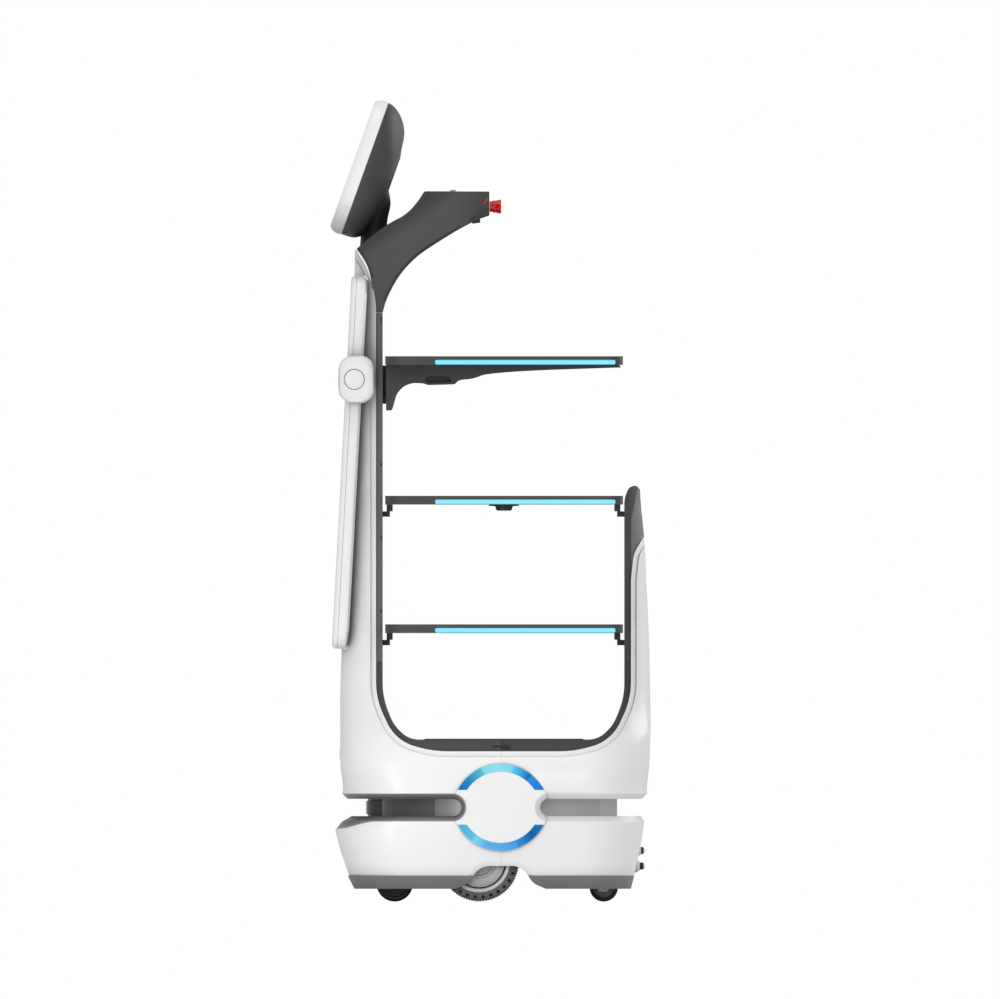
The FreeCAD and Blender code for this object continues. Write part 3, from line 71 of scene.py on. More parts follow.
world = bpy.data.worlds.new("studio")
bpy.context.scene.world = world
world.use_nodes = True
world.node_tree.nodes.clear()
rays = add(world, "LightPath")
seen = add(world, "Math", {0: rays.outputs["Is Camera Ray"], 1: rays.outputs["Is Transmission Ray"]},
           operation="MAXIMUM")
ambient = add(world, "Background", {"Color": linear("#ffffff"), "Strength": 0.56})
backdrop = add(world, "Background", {"Color": linear("#ffffff"), "Strength": 1.0})
sky = add(world, "MixShader", {0: seen.outputs[0], 1: ambient.outputs[0], 2: backdrop.outputs[0]})
add(world, "OutputWorld", {"Surface": sky.outputs[0]})

floor_mesh = bpy.data.meshes.new("floor")
floor_form = bmesh.new()
bmesh.ops.create_grid(floor_form, x_segments=1, y_segments=1, size=6)
floor_form.to_mesh(floor_mesh)
floor_form.free()
floor = bpy.data.objects.new("floor", floor_mesh)
bpy.context.scene.collection.objects.link(floor)
paint = bpy.data.materials.new("pale_floor")
paint.use_nodes = True
floor_shader = paint.node_tree.nodes["Principled BSDF"]
floor_shader.inputs["Base Color"].default_value = linear("#f2f2f2")
floor_shader.inputs["Roughness"].default_value = 0.8
floor_shader.inputs["Emission Color"].default_value = linear("#ffffff")
rays = add(paint, "LightPath")
lift = add(paint, "Math", {0: rays.outputs["Is Camera Ray"], 1: 0.3}, operation="MULTIPLY")
paint.node_tree.links.new(lift.outputs[0], floor_shader.inputs["Emission Strength"])
floor_mesh.materials.append(paint)

# Columns: name, place, what it looks at, width, height, power in watts.
for name, place, target, wide, tall, power in (
        ("key_lamp", (0.42, 1.2, 0.16), (0.16, 0, 0.2), 0.5, 0.4, 2.45),
        ("head_lamp", (0.5, 1.2, 1.4), (0.26, 0, 1.34), 0.5, 0.5, 1.1),
        ("soft_lamp", (-0.4, 2.4, 0.9), (-0.1, 0, 0.9), 1.0, 1.0, 6.0),
        ("top_lamp", (0.3, 0.6, 2.6), (0.1, 0, 1.2), 1.0, 1.0, 4.0),
        ("back_lamp", (-1.9, -1.1, 1.7), (0.1, 0, 1.1), 1.4, 1.6, 14)):
    lamp = bpy.data.lights.new(name, "AREA")
    lamp.shape = "RECTANGLE"
    lamp.size = wide
    lamp.size_y = tall
    lamp.energy = power
    held = bpy.data.objects.new(name, lamp)
    held.location = place
    held.rotation_euler = (Vector(target) - Vector(place)).to_track_quat("-Z", "Y").to_euler()
    bpy.context.scene.collection.objects.link(held)

MM = 0.001
PIXEL = 1.8 * MM
camera = bpy.data.cameras.new("camera")
camera.type = "ORTHO"
camera.ortho_scale = 1000 * PIXEL
camera.clip_end = 20
eye = bpy.data.objects.new("camera", camera)
ORIGIN_COLUMN, FLOOR_ROW = 490.5, 901.6
eye.location = ((ORIGIN_COLUMN - 500) * PIXEL, 6, (FLOOR_ROW - 499.5) * PIXEL)
eye.rotation_euler = (math.radians(90), 0, math.radians(180))
bpy.context.scene.collection.objects.link(eye)
bpy.context.scene.camera = eye
bpy.context.scene.view_settings.view_transform = "Standard"


# White mouldings: ABS shells painted a satin white and clear-coated. The coat leaves a very fine
# orange peel; a hair line shows where the front and rear shells meet, and the bevels of the front
# sensor slot are painted dark grey.
def finish(name):
    """New material: its Principled shader and the Object coordinates of the piece."""
    made = bpy.data.materials.new(name)
    made.use_nodes = True
    shader = made.node_tree.nodes["Principled BSDF"]
    where = add(made, "TexCoord").outputs["Object"]
    return made, shader, where


def feed(material, shader, inputs):
    """Set the shader's sockets from values or from other nodes' sockets."""
    for name, value in inputs.items():
        if isinstance(value, bpy.types.NodeSocket):
            material.node_tree.links.new(value, shader.inputs[name])
        else:
            shader.inputs[name].default_value = value


def peel(material, where, size, strength):
    """Bump of a noise whose grains are about a given size in metres."""
    noise = add(material, "TexNoise", {"Vector": where, "Scale": 1 / size, "Detail": 2.0})
    return add(material, "Bump", {"Height": noise.outputs[0], "Strength": strength, "Distance": 0.0004})


def patchy(material, where, dark, pale, size):
    """Colour that drifts a little between two tones over the surface."""
    noise = add(material, "TexNoise", {"Vector": where, "Scale": 1 / size, "Detail": 3.0})
    return add(material, "Mix", {0: noise.outputs[0], 6: linear(dark), 7: linear(pale)}, data_type="RGBA")


CORNER_SHADE_REACH = 70 * MM


def painted_corner_shade(material, tone, depth):
    """Painted shade: tone that deepens in corners, where less of the studio's light gets in."""
    hidden = add(material, "AmbientOcclusion", {"Distance": CORNER_SHADE_REACH}, samples=8)
    share = add(material, "MapRange", {0: hidden.outputs["AO"], 1: 0.25, 2: 1.0, 3: 1.0 - depth, 4: 1.0})
    return add(material, "Mix", {0: 1.0, 6: tone, 7: share.outputs[0]}, data_type="RGBA",
               blend_type="MULTIPLY")


def painted_shade_ramp(material, where, tone, slope, start, end, low):
    """Painted shade: tone that is a share darker where a slope through the point, in metres, is at its start."""
    level = add(material, "VectorMath", {0: where, 1: slope}, operation="DOT_PRODUCT")
    share = add(material, "MapRange", {0: level.outputs["Value"], 1: start, 2: end, 3: low, 4: 1.0},
                interpolation_type="SMOOTHSTEP")
    return add(material, "Mix", {0: 1.0, 6: tone, 7: share.outputs[0]}, data_type="RGBA",
               blend_type="MULTIPLY")


def satin_white(name, pale="#fbfbfb", dark="#f4f4f5"):
    """Painted white ABS, its colour darkened in corners by painted shade."""
    made, shader, where = finish(name)
    tone = patchy(made, where, dark, pale, 0.09)
    tone = painted_corner_shade(made, tone.outputs[2], 0.7)
    bump = peel(made, where, 0.0025, 0.05)
    feed(made, shader, {"Base Color": tone.outputs[2], "Roughness": 0.34, "Normal": bump.outputs[0],
                        "Coat Weight": 0.25, "Coat Roughness": 0.18, "IOR": 1.5})
    return made, shader, where, tone


def softened(name, paint, width, angle=32, segments=2):
    """Copy of a CAD node with its sharp edges rounded by a few tenths to a few millimetres."""
    mesh = nodes[name].data.copy()
    form = bmesh.new()
    form.from_mesh(mesh)
    bmesh.ops.remove_doubles(form, verts=form.verts, dist=0.00002)
    bmesh.ops.dissolve_limit(form, angle_limit=math.radians(0.6), verts=form.verts, edges=form.edges,
                             delimit={"NORMAL"})
    form.to_mesh(mesh)
    form.free()
    made = bpy.data.objects.new(name + "_soft", mesh)
    bpy.context.scene.collection.objects.link(made)
    mesh.materials.clear()
    mesh.materials.append(paint)
    for face in mesh.polygons:
        face.use_smooth = True
    rounding = made.modifiers.new("rounding", "BEVEL")
    rounding.width = width * MM
    rounding.segments = segments
    rounding.limit_method = "ANGLE"
    rounding.angle_limit = math.radians(angle)
    rounding.harden_normals = False
    rounding.use_clamp_overlap = True
    shading = made.modifiers.new("shading", "WEIGHTED_NORMAL")
    shading.keep_sharp = False
    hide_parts(name)
    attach(made, "base")
    return made


white = satin_white("satin_white_abs")[0]
for name in ("clip_caps", "charge_bosses"):
    nodes[name].data.materials[0] = white
for name, width in (("rear_shell", 1.2), ("rear_skirt", 1.5), ("display_back", 7), ("display_frame", 2.4)):
    softened(name, white, width)
softened("side_clips", white, 12, 32, 4)
# The head's white rim carries painted shade, darker towards its lower edge.
shaded_rim_white, shader, where, tone = satin_white("satin_white_head_rim_painted_shade", "#ffffff", "#fbfbfb")
tone = painted_shade_ramp(shaded_rim_white, where, tone.outputs[2], (0, 0, 1), 1.19, 1.28, 0.45)
feed(shaded_rim_white, shader, {"Base Color": tone.outputs[2]})
softened("head_rim", shaded_rim_white, 1.6)

SLOT_END = 69.3 * MM
SLOT_MIDDLE = 169.4 * MM
SLOT_REACH = 25.4 * MM


def slot_edged(name, lip=False):
    """Painted white ABS whose bevel round the front sensor slot is painted grey."""
    made, shader, where, tone = satin_white(name)
    split = add(made, "SeparateXYZ", {0: where})
    ahead = add(made, "Math", {0: split.outputs["X"], 1: SLOT_END}, operation="SUBTRACT")
    behind = add(made, "Math", {0: ahead.outputs[0], 1: 0.0}, operation="MINIMUM")
    above = add(made, "Math", {0: split.outputs["Z"], 1: SLOT_MIDDLE}, operation="SUBTRACT")
    if lip:
        drop = add(made, "MapRange", {0: split.outputs["X"], 1: 0.205, 2: 0.277, 3: 0.0, 4: 0.0135},
                   interpolation_type="SMOOTHSTEP")
        above = add(made, "Math", {0: above.outputs[0], 1: drop.outputs[0]}, operation="ADD")
    offset = add(made, "CombineXYZ", {0: behind.outputs[0], 2: above.outputs[0]})
    reach = add(made, "VectorMath", {0: offset.outputs[0]}, operation="LENGTH")
    share = add(made, "Math", {0: reach.outputs["Value"], 1: SLOT_REACH}, operation="DIVIDE")
    grey = add(made, "ValToRGB", {0: share.outputs[0]})
    ramp = grey.color_ramp
    ramp.elements[0].position = 0.60
    ramp.elements[0].color = linear("#4c4c4c")
    ramp.elements[1].position = 0.84
    ramp.elements[1].color = linear("#707070")
    ramp.elements.new(0.965).color = linear("#8e8e8e")
    bevel = add(made, "Math", {0: share.outputs[0], 1: 0.985}, operation="LESS_THAN")
    mixed = add(made, "Mix", {0: bevel.outputs[0], 6: tone.outputs[2], 7: grey.outputs[0]}, data_type="RGBA")
    feed(made, shader, {"Base Color": mixed.outputs[2]})
    return made


softened("front_shell", slot_edged("satin_white_front_shell"), 1.2)
softened("front_skirt", slot_edged("satin_white_front_skirt", True), 1.5)
softened("side_discs", slot_edged("satin_white_discs"), 0.5)


# Dark mouldings: linings, arm, neck, head back, trays and bracket, in glass-filled nylon with a
# spark-eroded grain. The grain is a few tenths of a millimetre, drawn at about one to show.
def grained(name, pale, dark, rough=0.5, size=0.0011, strength=0.25, depth=0.5):
    """Dark grained plastic, its colour darkened in corners by painted shade, a share given as depth."""
    made, shader, where = finish(name)
    tone = patchy(made, where, dark, pale, 0.05)
    tone = painted_corner_shade(made, tone.outputs[2], depth)
    bump = peel(made, where, size, strength)
    feed(made, shader, {"Base Color": tone.outputs[2], "Roughness": rough, "Normal": bump.outputs[0],
                        "IOR": 1.5})
    return made


def present(material):
    """Shader, Object coordinates and colour of a finished material that gets one more tone."""
    shader = material.node_tree.nodes["Principled BSDF"]
    where = add(material, "TexCoord").outputs["Object"]
    return shader, where, shader.inputs["Base Color"].links[0].from_socket


dark_plastic = grained("grained_dark_nylon", "#434343", "#3b3b3b")
for name in ("neck", "cameras"):
    nodes[name].data.materials[0] = dark_plastic
for name, width in (("deck_liner", 3), ("head_back", 3), ("tray_1", 2.5), ("tray_2", 2.5), ("tray_3", 2.5)):
    softened(name, dark_plastic, width, 32, 3)
# The column's lining is painted paler than the other linings, painted light for the light its edge catches from
# behind; its painted corner shade is shallower.
softened("front_liner", grained("grained_column_lining_painted_light", "#666666", "#5c5c5c", depth=0.25), 3, 32, 3)

# Post: the lining's nylon is dark towards the trays, and its cap over the white shell is a paler grey
# behind a line that stands upright and then leans back.
CAP_LINE = -252.2 * MM
CAP_BEND = 687 * MM
CAP_FOOT = 560 * MM
CAP_LEAN = 0.214
post_plastic = grained("grained_post_lining", "#4a4a4a", "#424242", depth=0.3)
shader, where, under_tone = present(post_plastic)
split = add(post_plastic, "SeparateXYZ", {0: where})
rise = add(post_plastic, "Math", {0: split.outputs["Z"], 1: CAP_BEND}, operation="SUBTRACT")
rise = add(post_plastic, "Math", {0: rise.outputs[0], 1: 0.0}, operation="MAXIMUM")
rise = add(post_plastic, "Math", {0: rise.outputs[0], 1: CAP_LEAN, 2: split.outputs["X"]},
           operation="MULTIPLY_ADD")
beyond = add(post_plastic, "MapRange", {0: rise.outputs[0], 1: CAP_LINE, 2: CAP_LINE - 2 * MM})
high = add(post_plastic, "MapRange", {0: split.outputs["Z"], 1: CAP_FOOT, 2: CAP_FOOT + 40 * MM})
pale = add(post_plastic, "Math", {0: beyond.outputs[0], 1: high.outputs[0]}, operation="MULTIPLY")
pale = add(post_plastic, "Mix", {0: pale.outputs[0], 6: under_tone, 7: linear("#767676")}, data_type="RGBA")
feed(post_plastic, shader, {"Base Color": pale.outputs[2]})
softened("rear_liner", post_plastic, 3, 32, 3)


# Top arm: one hollow nylon moulding from the column's top to the stop button. Its outline runs in
# long curves, its underside edge is chamfered, and the lower corners of its end are cut off.
def profile(points, half):
    """Solid between two widths from its side view: corners (x, z, radius); no radius is a soft curve."""
    form = bmesh.new()
    corners = [form.verts.new((x * MM, -half * MM, z * MM)) for x, z, _ in points]
    made = bmesh.ops.extrude_face_region(form, geom=[form.faces.new(corners)])
    moved = [part for part in made["geom"] if isinstance(part, bmesh.types.BMVert)]
    bmesh.ops.translate(form, verts=moved, vec=(0, 2 * half * MM, 0))
    bmesh.ops.recalc_face_normals(form, faces=form.faces)
    for wanted in sorted({radius for _, _, radius in points}, reverse=True):
        places = [(x, z) for x, z, radius in points if radius == wanted]
        across = [edge for edge in form.edges if abs(edge.verts[0].co.y - edge.verts[1].co.y) > half * MM
                  and min(math.hypot(edge.verts[0].co.x / MM - x, edge.verts[0].co.z / MM - z)
                          for x, z in places) < 0.01]
        if wanted:
            bmesh.ops.bevel(form, geom=across, offset=wanted * MM, segments=3, profile=0.5, affect="EDGES",
                            material=-1, clamp_overlap=True)
        else:
            bmesh.ops.bevel(form, geom=across, offset=49, offset_type="PERCENT", segments=6, profile=0.5,
                            affect="EDGES", material=-1)
    return form


def piece(name, form, paints, body, sharp=38):
    """Finished mesh as a named object that rides on a body."""
    bmesh.ops.remove_doubles(form, verts=form.verts, dist=0.00001)
    bmesh.ops.recalc_face_normals(form, faces=form.faces)
    mesh = bpy.data.meshes.new(name)
    form.to_mesh(mesh)
    form.free()
    for paint in paints:
        mesh.materials.append(paint)
    for face in mesh.polygons:
        face.use_smooth = True
    mesh.set_sharp_from_angle(angle=math.radians(sharp))
    made = bpy.data.objects.new(name, mesh)
    bpy.context.scene.collection.objects.link(made)
    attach(made, body)
    return made


def rounded(made, width):
    """Small radius on a piece's sharp edges, as a mould gives."""
    rounding = made.modifiers.new("rounding", "BEVEL")
    rounding.width = width * MM
    rounding.segments = 2
    rounding.limit_method = "ANGLE"
    rounding.angle_limit = math.radians(30)
    made.modifiers.new("shading", "WEIGHTED_NORMAL").keep_sharp = False


arm_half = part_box("top_arm")[1].y / MM
arm_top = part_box("top_arm")[1].z / MM
arm_side = (
    (119, arm_top, 2.5), (2, arm_top - 0.5, 2), (1.8, 1234.8, 2), (30, 1225.5, 0), (96, 1187, 0),
    (150, 1149, 0), (184.5, 1094, 0), (194.0, 1060.2, 0.5), (211, 1060.2, 0.5), (212, 1105, 0),
    (219, 1140, 0), (231, 1161, 0), (241.5, 1175, 2), (213, 1199, 0), (182, 1222, 0), (152, 1236, 0),
    (131, 1260, 0))
arm = profile(arm_side, arm_half)
CORNER_TOP = 1272.6
CORNER_SLOPE = (-0.3855, -0.3185)
for side in (-1, 1):
    bmesh.ops.bisect_plane(arm, geom=arm.verts[:] + arm.edges[:] + arm.faces[:],
                           plane_co=(0, side * arm_half * MM, CORNER_TOP * MM),
                           plane_no=(CORNER_SLOPE[0], side, CORNER_SLOPE[1]), clear_outer=True)
    bmesh.ops.holes_fill(arm, edges=[edge for edge in arm.edges if edge.is_boundary])
bmesh.ops.recalc_face_normals(arm, faces=arm.faces)
under = []
for edge in arm.edges:
    flat = [face for face in edge.link_faces if abs(face.normal.y) > 0.95]
    wall = [face for face in edge.link_faces if abs(face.normal.y) < 0.1]
    if flat and wall and wall[0].normal.z < -0.2 and edge.verts[0].co.z > 1.062:
        under.append(edge)
bmesh.ops.bevel(arm, geom=under, offset=5.5 * MM, segments=1, profile=0.5, affect="EDGES", material=-1)
# The arm's nylon carries painted shade: darker next to the head across its upper front, and darker towards the
# stop button's end.
shaded_arm_plastic = grained("grained_arm_nylon_painted_shade", "#4a4a4a", "#444444", depth=0.3)
shader, where, tone = present(shaded_arm_plastic)
tone = painted_shade_ramp(shaded_arm_plastic, where, tone, (-0.5615, 0, -0.827), -1.108, -1.078, 0.42).outputs[2]
tone = painted_shade_ramp(shaded_arm_plastic, where, tone, (1, 0, 0), 0.005, 0.075, 0.55).outputs[2]
feed(shaded_arm_plastic, shader, {"Base Color": tone})
dressed_arm = piece("top_arm_moulding", arm, [shaded_arm_plastic], "base")
rounded(dressed_arm, 1.2)
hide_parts("top_arm")


# Small marks on the dark mouldings: microphone slots in the arm's underside edge and in the head, the red inlay
# by the stop button, hook slots down the column, and the catch of the deck's lid. The slots and the catch are
# near-black bars, painted shade for the dark inside them.
def bar(form, place, size, direction=(1, 0), radius=0.8):
    """Rounded bar at a place in mm, its length along a direction (x, z) of the side view."""
    corners = bmesh.ops.create_cube(form, size=1)["verts"]
    bmesh.ops.scale(form, verts=corners, vec=[v * MM for v in size])
    turn = Matrix.Rotation(math.atan2(-direction[1], direction[0]), 3, "Y")
    bmesh.ops.rotate(form, verts=corners, cent=(0, 0, 0), matrix=turn)
    bmesh.ops.translate(form, verts=corners, vec=[v * MM for v in place])
    upright = {edge for corner in corners for edge in corner.link_edges
               if abs(edge.verts[0].co.y - edge.verts[1].co.y) > 0.9 * size[1] * MM}
    bmesh.ops.bevel(form, geom=list(upright), offset=radius * MM, segments=3, profile=0.5, affect="EDGES",
                    material=-1)


def skin(name, start, heading):
    """Where a ray from a point in mm first meets a CAD node."""
    mesh = nodes[name].data
    tree = BVHTree.FromPolygons([v.co for v in mesh.vertices], [face.vertices for face in mesh.polygons])
    return tree.ray_cast(Vector(start) * MM, Vector(heading))[0] / MM


SEAM = -18.9
# Near-black: painted shade standing in for the dark inside slots, holes and grooves.
slot_shade_black = grained("painted_slot_shade", "#161616", "#101010", 0.6)
marks = bmesh.new()
inlays = bmesh.new()
for side in (-1, 1):
    bar(marks, (123.6, side * (arm_half - 3.4), 1169.6), (8, 3, 2.2), (54, -38))
    bar(marks, (31.5, side * (arm_half - 1.6), 1230.5), (7, 3, 2), (36, -22))
    bar(inlays, (8.5, side * (arm_half - 1.4), 1260.2), (13, 3, 3.2), (-8, 12), 1.4)
    for ahead, height, tall in ((196.5, 1047, 13), (196.5, 787, 7), (196.5, 655, 7), (196.5, 523, 7)):
        spot = skin("front_liner", (ahead, side * 900, height), (0, -side, 0))
        bar(marks, (ahead, spot.y - side * 1.2, height), (2.6, 3, tall), (1, 0), 1.1)
    proud = max(abs(skin("deck_liner", (SEAM + off, side * 900, 279), (0, -side, 0)).y) for off in (-8, 8))
    bar(marks, (SEAM, side * (proud - 1.1), 278.8), (34, 3, 4.6), (1, 0), 1.8)
    spot = skin("head_back", (260.5, side * 900, 1205), (0, -side, 0))
    bar(marks, (260.5, spot.y - side * 1.2, 1205), (9, 3, 1.8), (1, -0.1), 0.7)
piece("moulded_slots", marks, [slot_shade_black], "base")
plate = bmesh.new()
bar(plate, (191.3, 0, 931), (6.4, 118, 68), (1, 0), 1)
bar(plate, (191.3, 0, 899), (6.4, 60, 6), (1, 0), 1)
piece("bracket_plate", plate, [grained("cast_grey_plate", "#c2c2c2", "#b6b6b6", 0.4)], "base")
red_inlay = grained("red_inlay", "#b01818", "#a01414", 0.35)
piece("stop_inlays", inlays, [red_inlay], "base")

# Upper tray's bracket: a nylon console on the column. Its arms sweep out under the tray, with a grip
# recess moulded into each side.
bracket_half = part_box("tray_1_bracket")[1].y / MM
bracket_side = ((188.1, 965.9, 0.5), (-232, 965.9, 0.5), (-235, 961.4, 1), (3, 953.3, 0), (30, 940.3, 0),
                (56, 939.5, 0), (64.5, 931, 2), (113, 929.6, 3), (123, 933.4, 0), (149, 933, 0), (168, 917, 0),
                (172.5, 900, 0), (177.5, 884, 2.5), (188.1, 884, 1))
console = piece("tray_1_console", profile(bracket_side, bracket_half), [dark_plastic], "base")
grip = bmesh.new()
for side in (-1, 1):
    hollow = profile(((119, 938.6, 2), (113, 945.4, 2), (78, 945.4, 2), (68.5, 936, 2), (111, 933.2, 2)), 16)
    bmesh.ops.translate(hollow, verts=hollow.verts, vec=(0, side * bracket_half * MM, 0))
    held = bpy.data.meshes.new("grip_hollow")
    hollow.to_mesh(held)
    hollow.free()
    grip.from_mesh(held)
    bpy.data.meshes.remove(held)


def carved(made, form):
    """Cut a form out of a piece for good."""
    mesh = bpy.data.meshes.new("cutter")
    form.to_mesh(mesh)
    form.free()
    cutter = bpy.data.objects.new("cutter", mesh)
    bpy.context.scene.collection.objects.link(cutter)
    cut = made.modifiers.new("cut", "BOOLEAN")
    cut.object = cutter
    cut.solver = "EXACT"
    cut.operation = "DIFFERENCE"
    bpy.context.view_layer.update()
    seen_now = made.evaluated_get(bpy.context.evaluated_depsgraph_get())
    solid = bpy.data.meshes.new_from_object(seen_now)
    made.modifiers.clear()
    made.data = solid
    bpy.data.objects.remove(cutter)


carved(console, grip)
rounded(console, 1.2)
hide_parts("tray_1_bracket")

black_plastic = grained("grained_black_nylon", "#2a2a2a", "#222222")
for name in ("tray_pegs", "battery_pack", "charge_rings"):
    nodes[name].data.materials[0] = black_plastic

# Deck mat: a moulded rubber sheet that keeps dishes from sliding.
nodes["deck_mat"].data.materials[0] = grained("deck_rubber", "#5c5c5c", "#525252", 0.7, 0.002, 0.4)

# Cores seen through the sensor slots: grey plastic in front, white at the rear.
def stepped(name, stops, rough=0.42):
    """Painted core whose tone changes along X (mm, hex); its soft changes are painted light and shade where the
    core steps and curves away.
    """
    made, shader, where = finish(name)
    split = add(made, "SeparateXYZ", {0: where})
    share = add(made, "MapRange", {0: split.outputs["X"], 1: stops[0][0] * MM, 2: stops[-1][0] * MM})
    shade = add(made, "ValToRGB", {0: share.outputs[0]})
    span = stops[-1][0] - stops[0][0]
    shade.color_ramp.elements[1].color = linear(stops[-1][1])
    shade.color_ramp.elements[0].color = linear(stops[0][1])
    for at, code in stops[1:-1]:
        shade.color_ramp.elements.new((at - stops[0][0]) / span).color = linear(code)
    bump = peel(made, where, 0.0012, 0.15)
    feed(made, shader, {"Base Color": shade.outputs[0], "Roughness": rough, "Normal": bump.outputs[0]})
    return made


# The front core's pale inner end, fading to grey, is painted light and shade in place of a lit step.
nodes["front_core"].data.materials[0] = stepped("grey_core_plastic_painted_light", (
    (40, "#f2f2f2"), (62, "#e6e6e6"), (80, "#c8c8c8"), (99.5, "#b4b4b4"), (100.5, "#868686"),
    (150, "#787878"), (200, "#808080"), (260, "#808080")))
nodes["rear_core"].data.materials[0] = stepped("white_core_plastic", (
    (-290, "#ffffff"), (-197.5, "#ffffff"), (-196.5, "#f4f4f4"), (-120, "#fafafa"), (-90, "#ffffff")))

# Bumper strips: a grey soft-touch elastomer over foam.
for name in ("front_bumper", "rear_bumper"):
    nodes[name].data.materials[0] = grained("soft_grey_bumper", "#8c8c8c", "#858585", 0.5, 0.0015, 0.12)

# Screens: black printed cover glass, switched off. Finger marks make its gloss drift a little.
made, shader, where = finish("black_cover_glass")
smear = add(made, "TexNoise", {"Vector": where, "Scale": 9.0, "Detail": 3.0})
rough = add(made, "MapRange", {0: smear.outputs[0], 3: 0.03, 4: 0.09})
feed(made, shader, {"Base Color": linear("#060708"), "Roughness": rough.outputs[0], "IOR": 1.46})
for name in ("head_glass", "display_glass"):
    nodes[name].data.materials[0] = made

# Laser scanner: a turned cap of glossy black plastic that lets infrared through.
made, shader, _ = finish("gloss_black_scanner")
feed(made, shader, {"Base Color": linear("#0d0d0e"), "Roughness": 0.08, "Coat Weight": 0.8,
                    "Coat Roughness": 0.04})
nodes["lidar"].data.materials[0] = made

# Light strips in the trays' edges: LED bars behind a frosted cyan cover, brightest along its middle.
STRIP_TOPS = (975.2, 723.9, 492.6)
STRIP_SIZE = (324.3, 5.4, 8.4)
STRIP_MIDDLE = -62.55
STRIP_SIDE = 247.9
STRIP_DROP = 4.3
made, shader, where = finish("lit_cyan_cover")
height = add(made, "SeparateXYZ", {0: where})
nearest = None
for top in STRIP_TOPS:
    off = add(made, "Math", {0: height.outputs["Z"], 1: (top - STRIP_DROP) * MM}, operation="SUBTRACT")
    off = add(made, "Math", {0: off.outputs[0]}, operation="ABSOLUTE")
    if nearest:
        off = add(made, "Math", {0: off.outputs[0], 1: nearest.outputs[0]}, operation="MINIMUM")
    nearest = off
glow = add(made, "MapRange", {0: nearest.outputs[0], 1: 0.0018, 2: 0.0042})
lit = add(made, "Mix", {0: glow.outputs[0], 6: linear("#94ecff"), 7: linear("#5fdcfb")}, data_type="RGBA")
feed(made, shader, {"Base Color": linear("#0b3f4a"), "Emission Color": lit.outputs[2],
                    "Emission Strength": 0.93, "Roughness": 0.35, "Specular IOR Level": 0.2})
strips = bmesh.new()
for top in STRIP_TOPS:
    for side in (-1, 1):
        corners = bmesh.ops.create_cube(strips, size=1)["verts"]
        bmesh.ops.scale(strips, verts=corners, vec=[v * MM for v in STRIP_SIZE])
        bmesh.ops.translate(strips, verts=corners, vec=(STRIP_MIDDLE * MM, side * STRIP_SIDE * MM,
                                                        (top - STRIP_DROP) * MM))
        ends = {edge for corner in corners for edge in corner.link_edges
                if abs(edge.verts[0].co.y - edge.verts[1].co.y) > 4 * MM}
        bmesh.ops.bevel(strips, geom=list(ends), offset=2.6 * MM, segments=4, profile=0.5, affect="EDGES",
                        material=-1)
covers = piece("tray_light_covers", strips, [made], "base")
rounded(covers, 0.7)
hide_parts("tray_lights")

# Arcs of the side discs: two LED bars behind a printed blue cover, in segments that run from deep
# blue at their ends to pale cyan.
ARC_TONES = (
    (24, "#1f7ad8"), (34, "#2586e2"), (45.5, "#2f93e6"), (47, "#1668ac"), (58, "#3a9fdc"),
    (71.5, "#62c9f0"), (74, "#7fdcf0"), (95, "#92e8f5"), (115.5, "#84dcee"), (118, "#55bfd8"),
    (138, "#2a93c6"), (155, "#1573b0"), (205, "#45b5dd"), (228, "#66c4ec"), (231, "#80dcf4"),
    (243, "#70c6f0"), (246, "#62b4ea"), (270, "#5cacea"), (293, "#4f9fe4"), (296, "#3a8ad6"),
    (314, "#1a6cb4"), (318, "#1263a8"), (336, "#1d74c2"))
made, shader, where = finish("lit_blue_arcs")
split = add(made, "SeparateXYZ", {0: where})
DISC_MIDDLE = (-18.5, 169.7)
right = add(made, "Math", {0: DISC_MIDDLE[0] * MM, 1: split.outputs["X"]}, operation="SUBTRACT")
up = add(made, "Math", {0: split.outputs["Z"], 1: DISC_MIDDLE[1] * MM}, operation="SUBTRACT")
turn = add(made, "Math", {0: up.outputs[0], 1: right.outputs[0]}, operation="ARCTAN2")
share = add(made, "Math", {0: turn.outputs[0], 1: math.tau}, operation="DIVIDE")
share = add(made, "Math", {0: share.outputs[0]}, operation="FRACT")
tones = add(made, "ValToRGB", {0: share.outputs[0]})
tones.color_ramp.elements[0].position = ARC_TONES[0][0] / 360
tones.color_ramp.elements[0].color = linear(ARC_TONES[0][1])
tones.color_ramp.elements[1].position = ARC_TONES[-1][0] / 360
tones.color_ramp.elements[1].color = linear(ARC_TONES[-1][1])
for degrees, code in ARC_TONES[1:-1]:
    tones.color_ramp.elements.new(degrees / 360).color = linear(code)
feed(made, shader, {"Base Color": linear("#05202c"), "Emission Color": tones.outputs[0],
                    "Emission Strength": 0.95, "Roughness": 0.5, "Specular IOR Level": 0.0})
nodes["light_arcs"].data.materials[0] = made

# Front of the base: a status light under a pale blue cover, which shows at the picture's left edge
# of the shell.
made, shader, _ = finish("pale_blue_cover")
feed(made, shader, {"Base Color": linear("#a8d8f4"), "Emission Color": linear("#8fd0f8"),
                    "Emission Strength": 0.35, "Roughness": 0.3})
STATUS_HEIGHT = 266
spot = skin("front_shell", (900, 0, STATUS_HEIGHT), (-1, 0, 0))
above = skin("front_shell", (900, 0, STATUS_HEIGHT + 6), (-1, 0, 0))
form = bmesh.new()
corners = bmesh.ops.create_cube(form, size=1)["verts"]
bmesh.ops.scale(form, verts=corners, vec=(5 * MM, 66 * MM, 18 * MM))
ends = [edge for edge in form.edges if abs(edge.verts[0].co.x - edge.verts[1].co.x) > 3 * MM]
bmesh.ops.bevel(form, geom=ends, offset=8.9 * MM, segments=8, profile=0.5, affect="EDGES", material=-1)
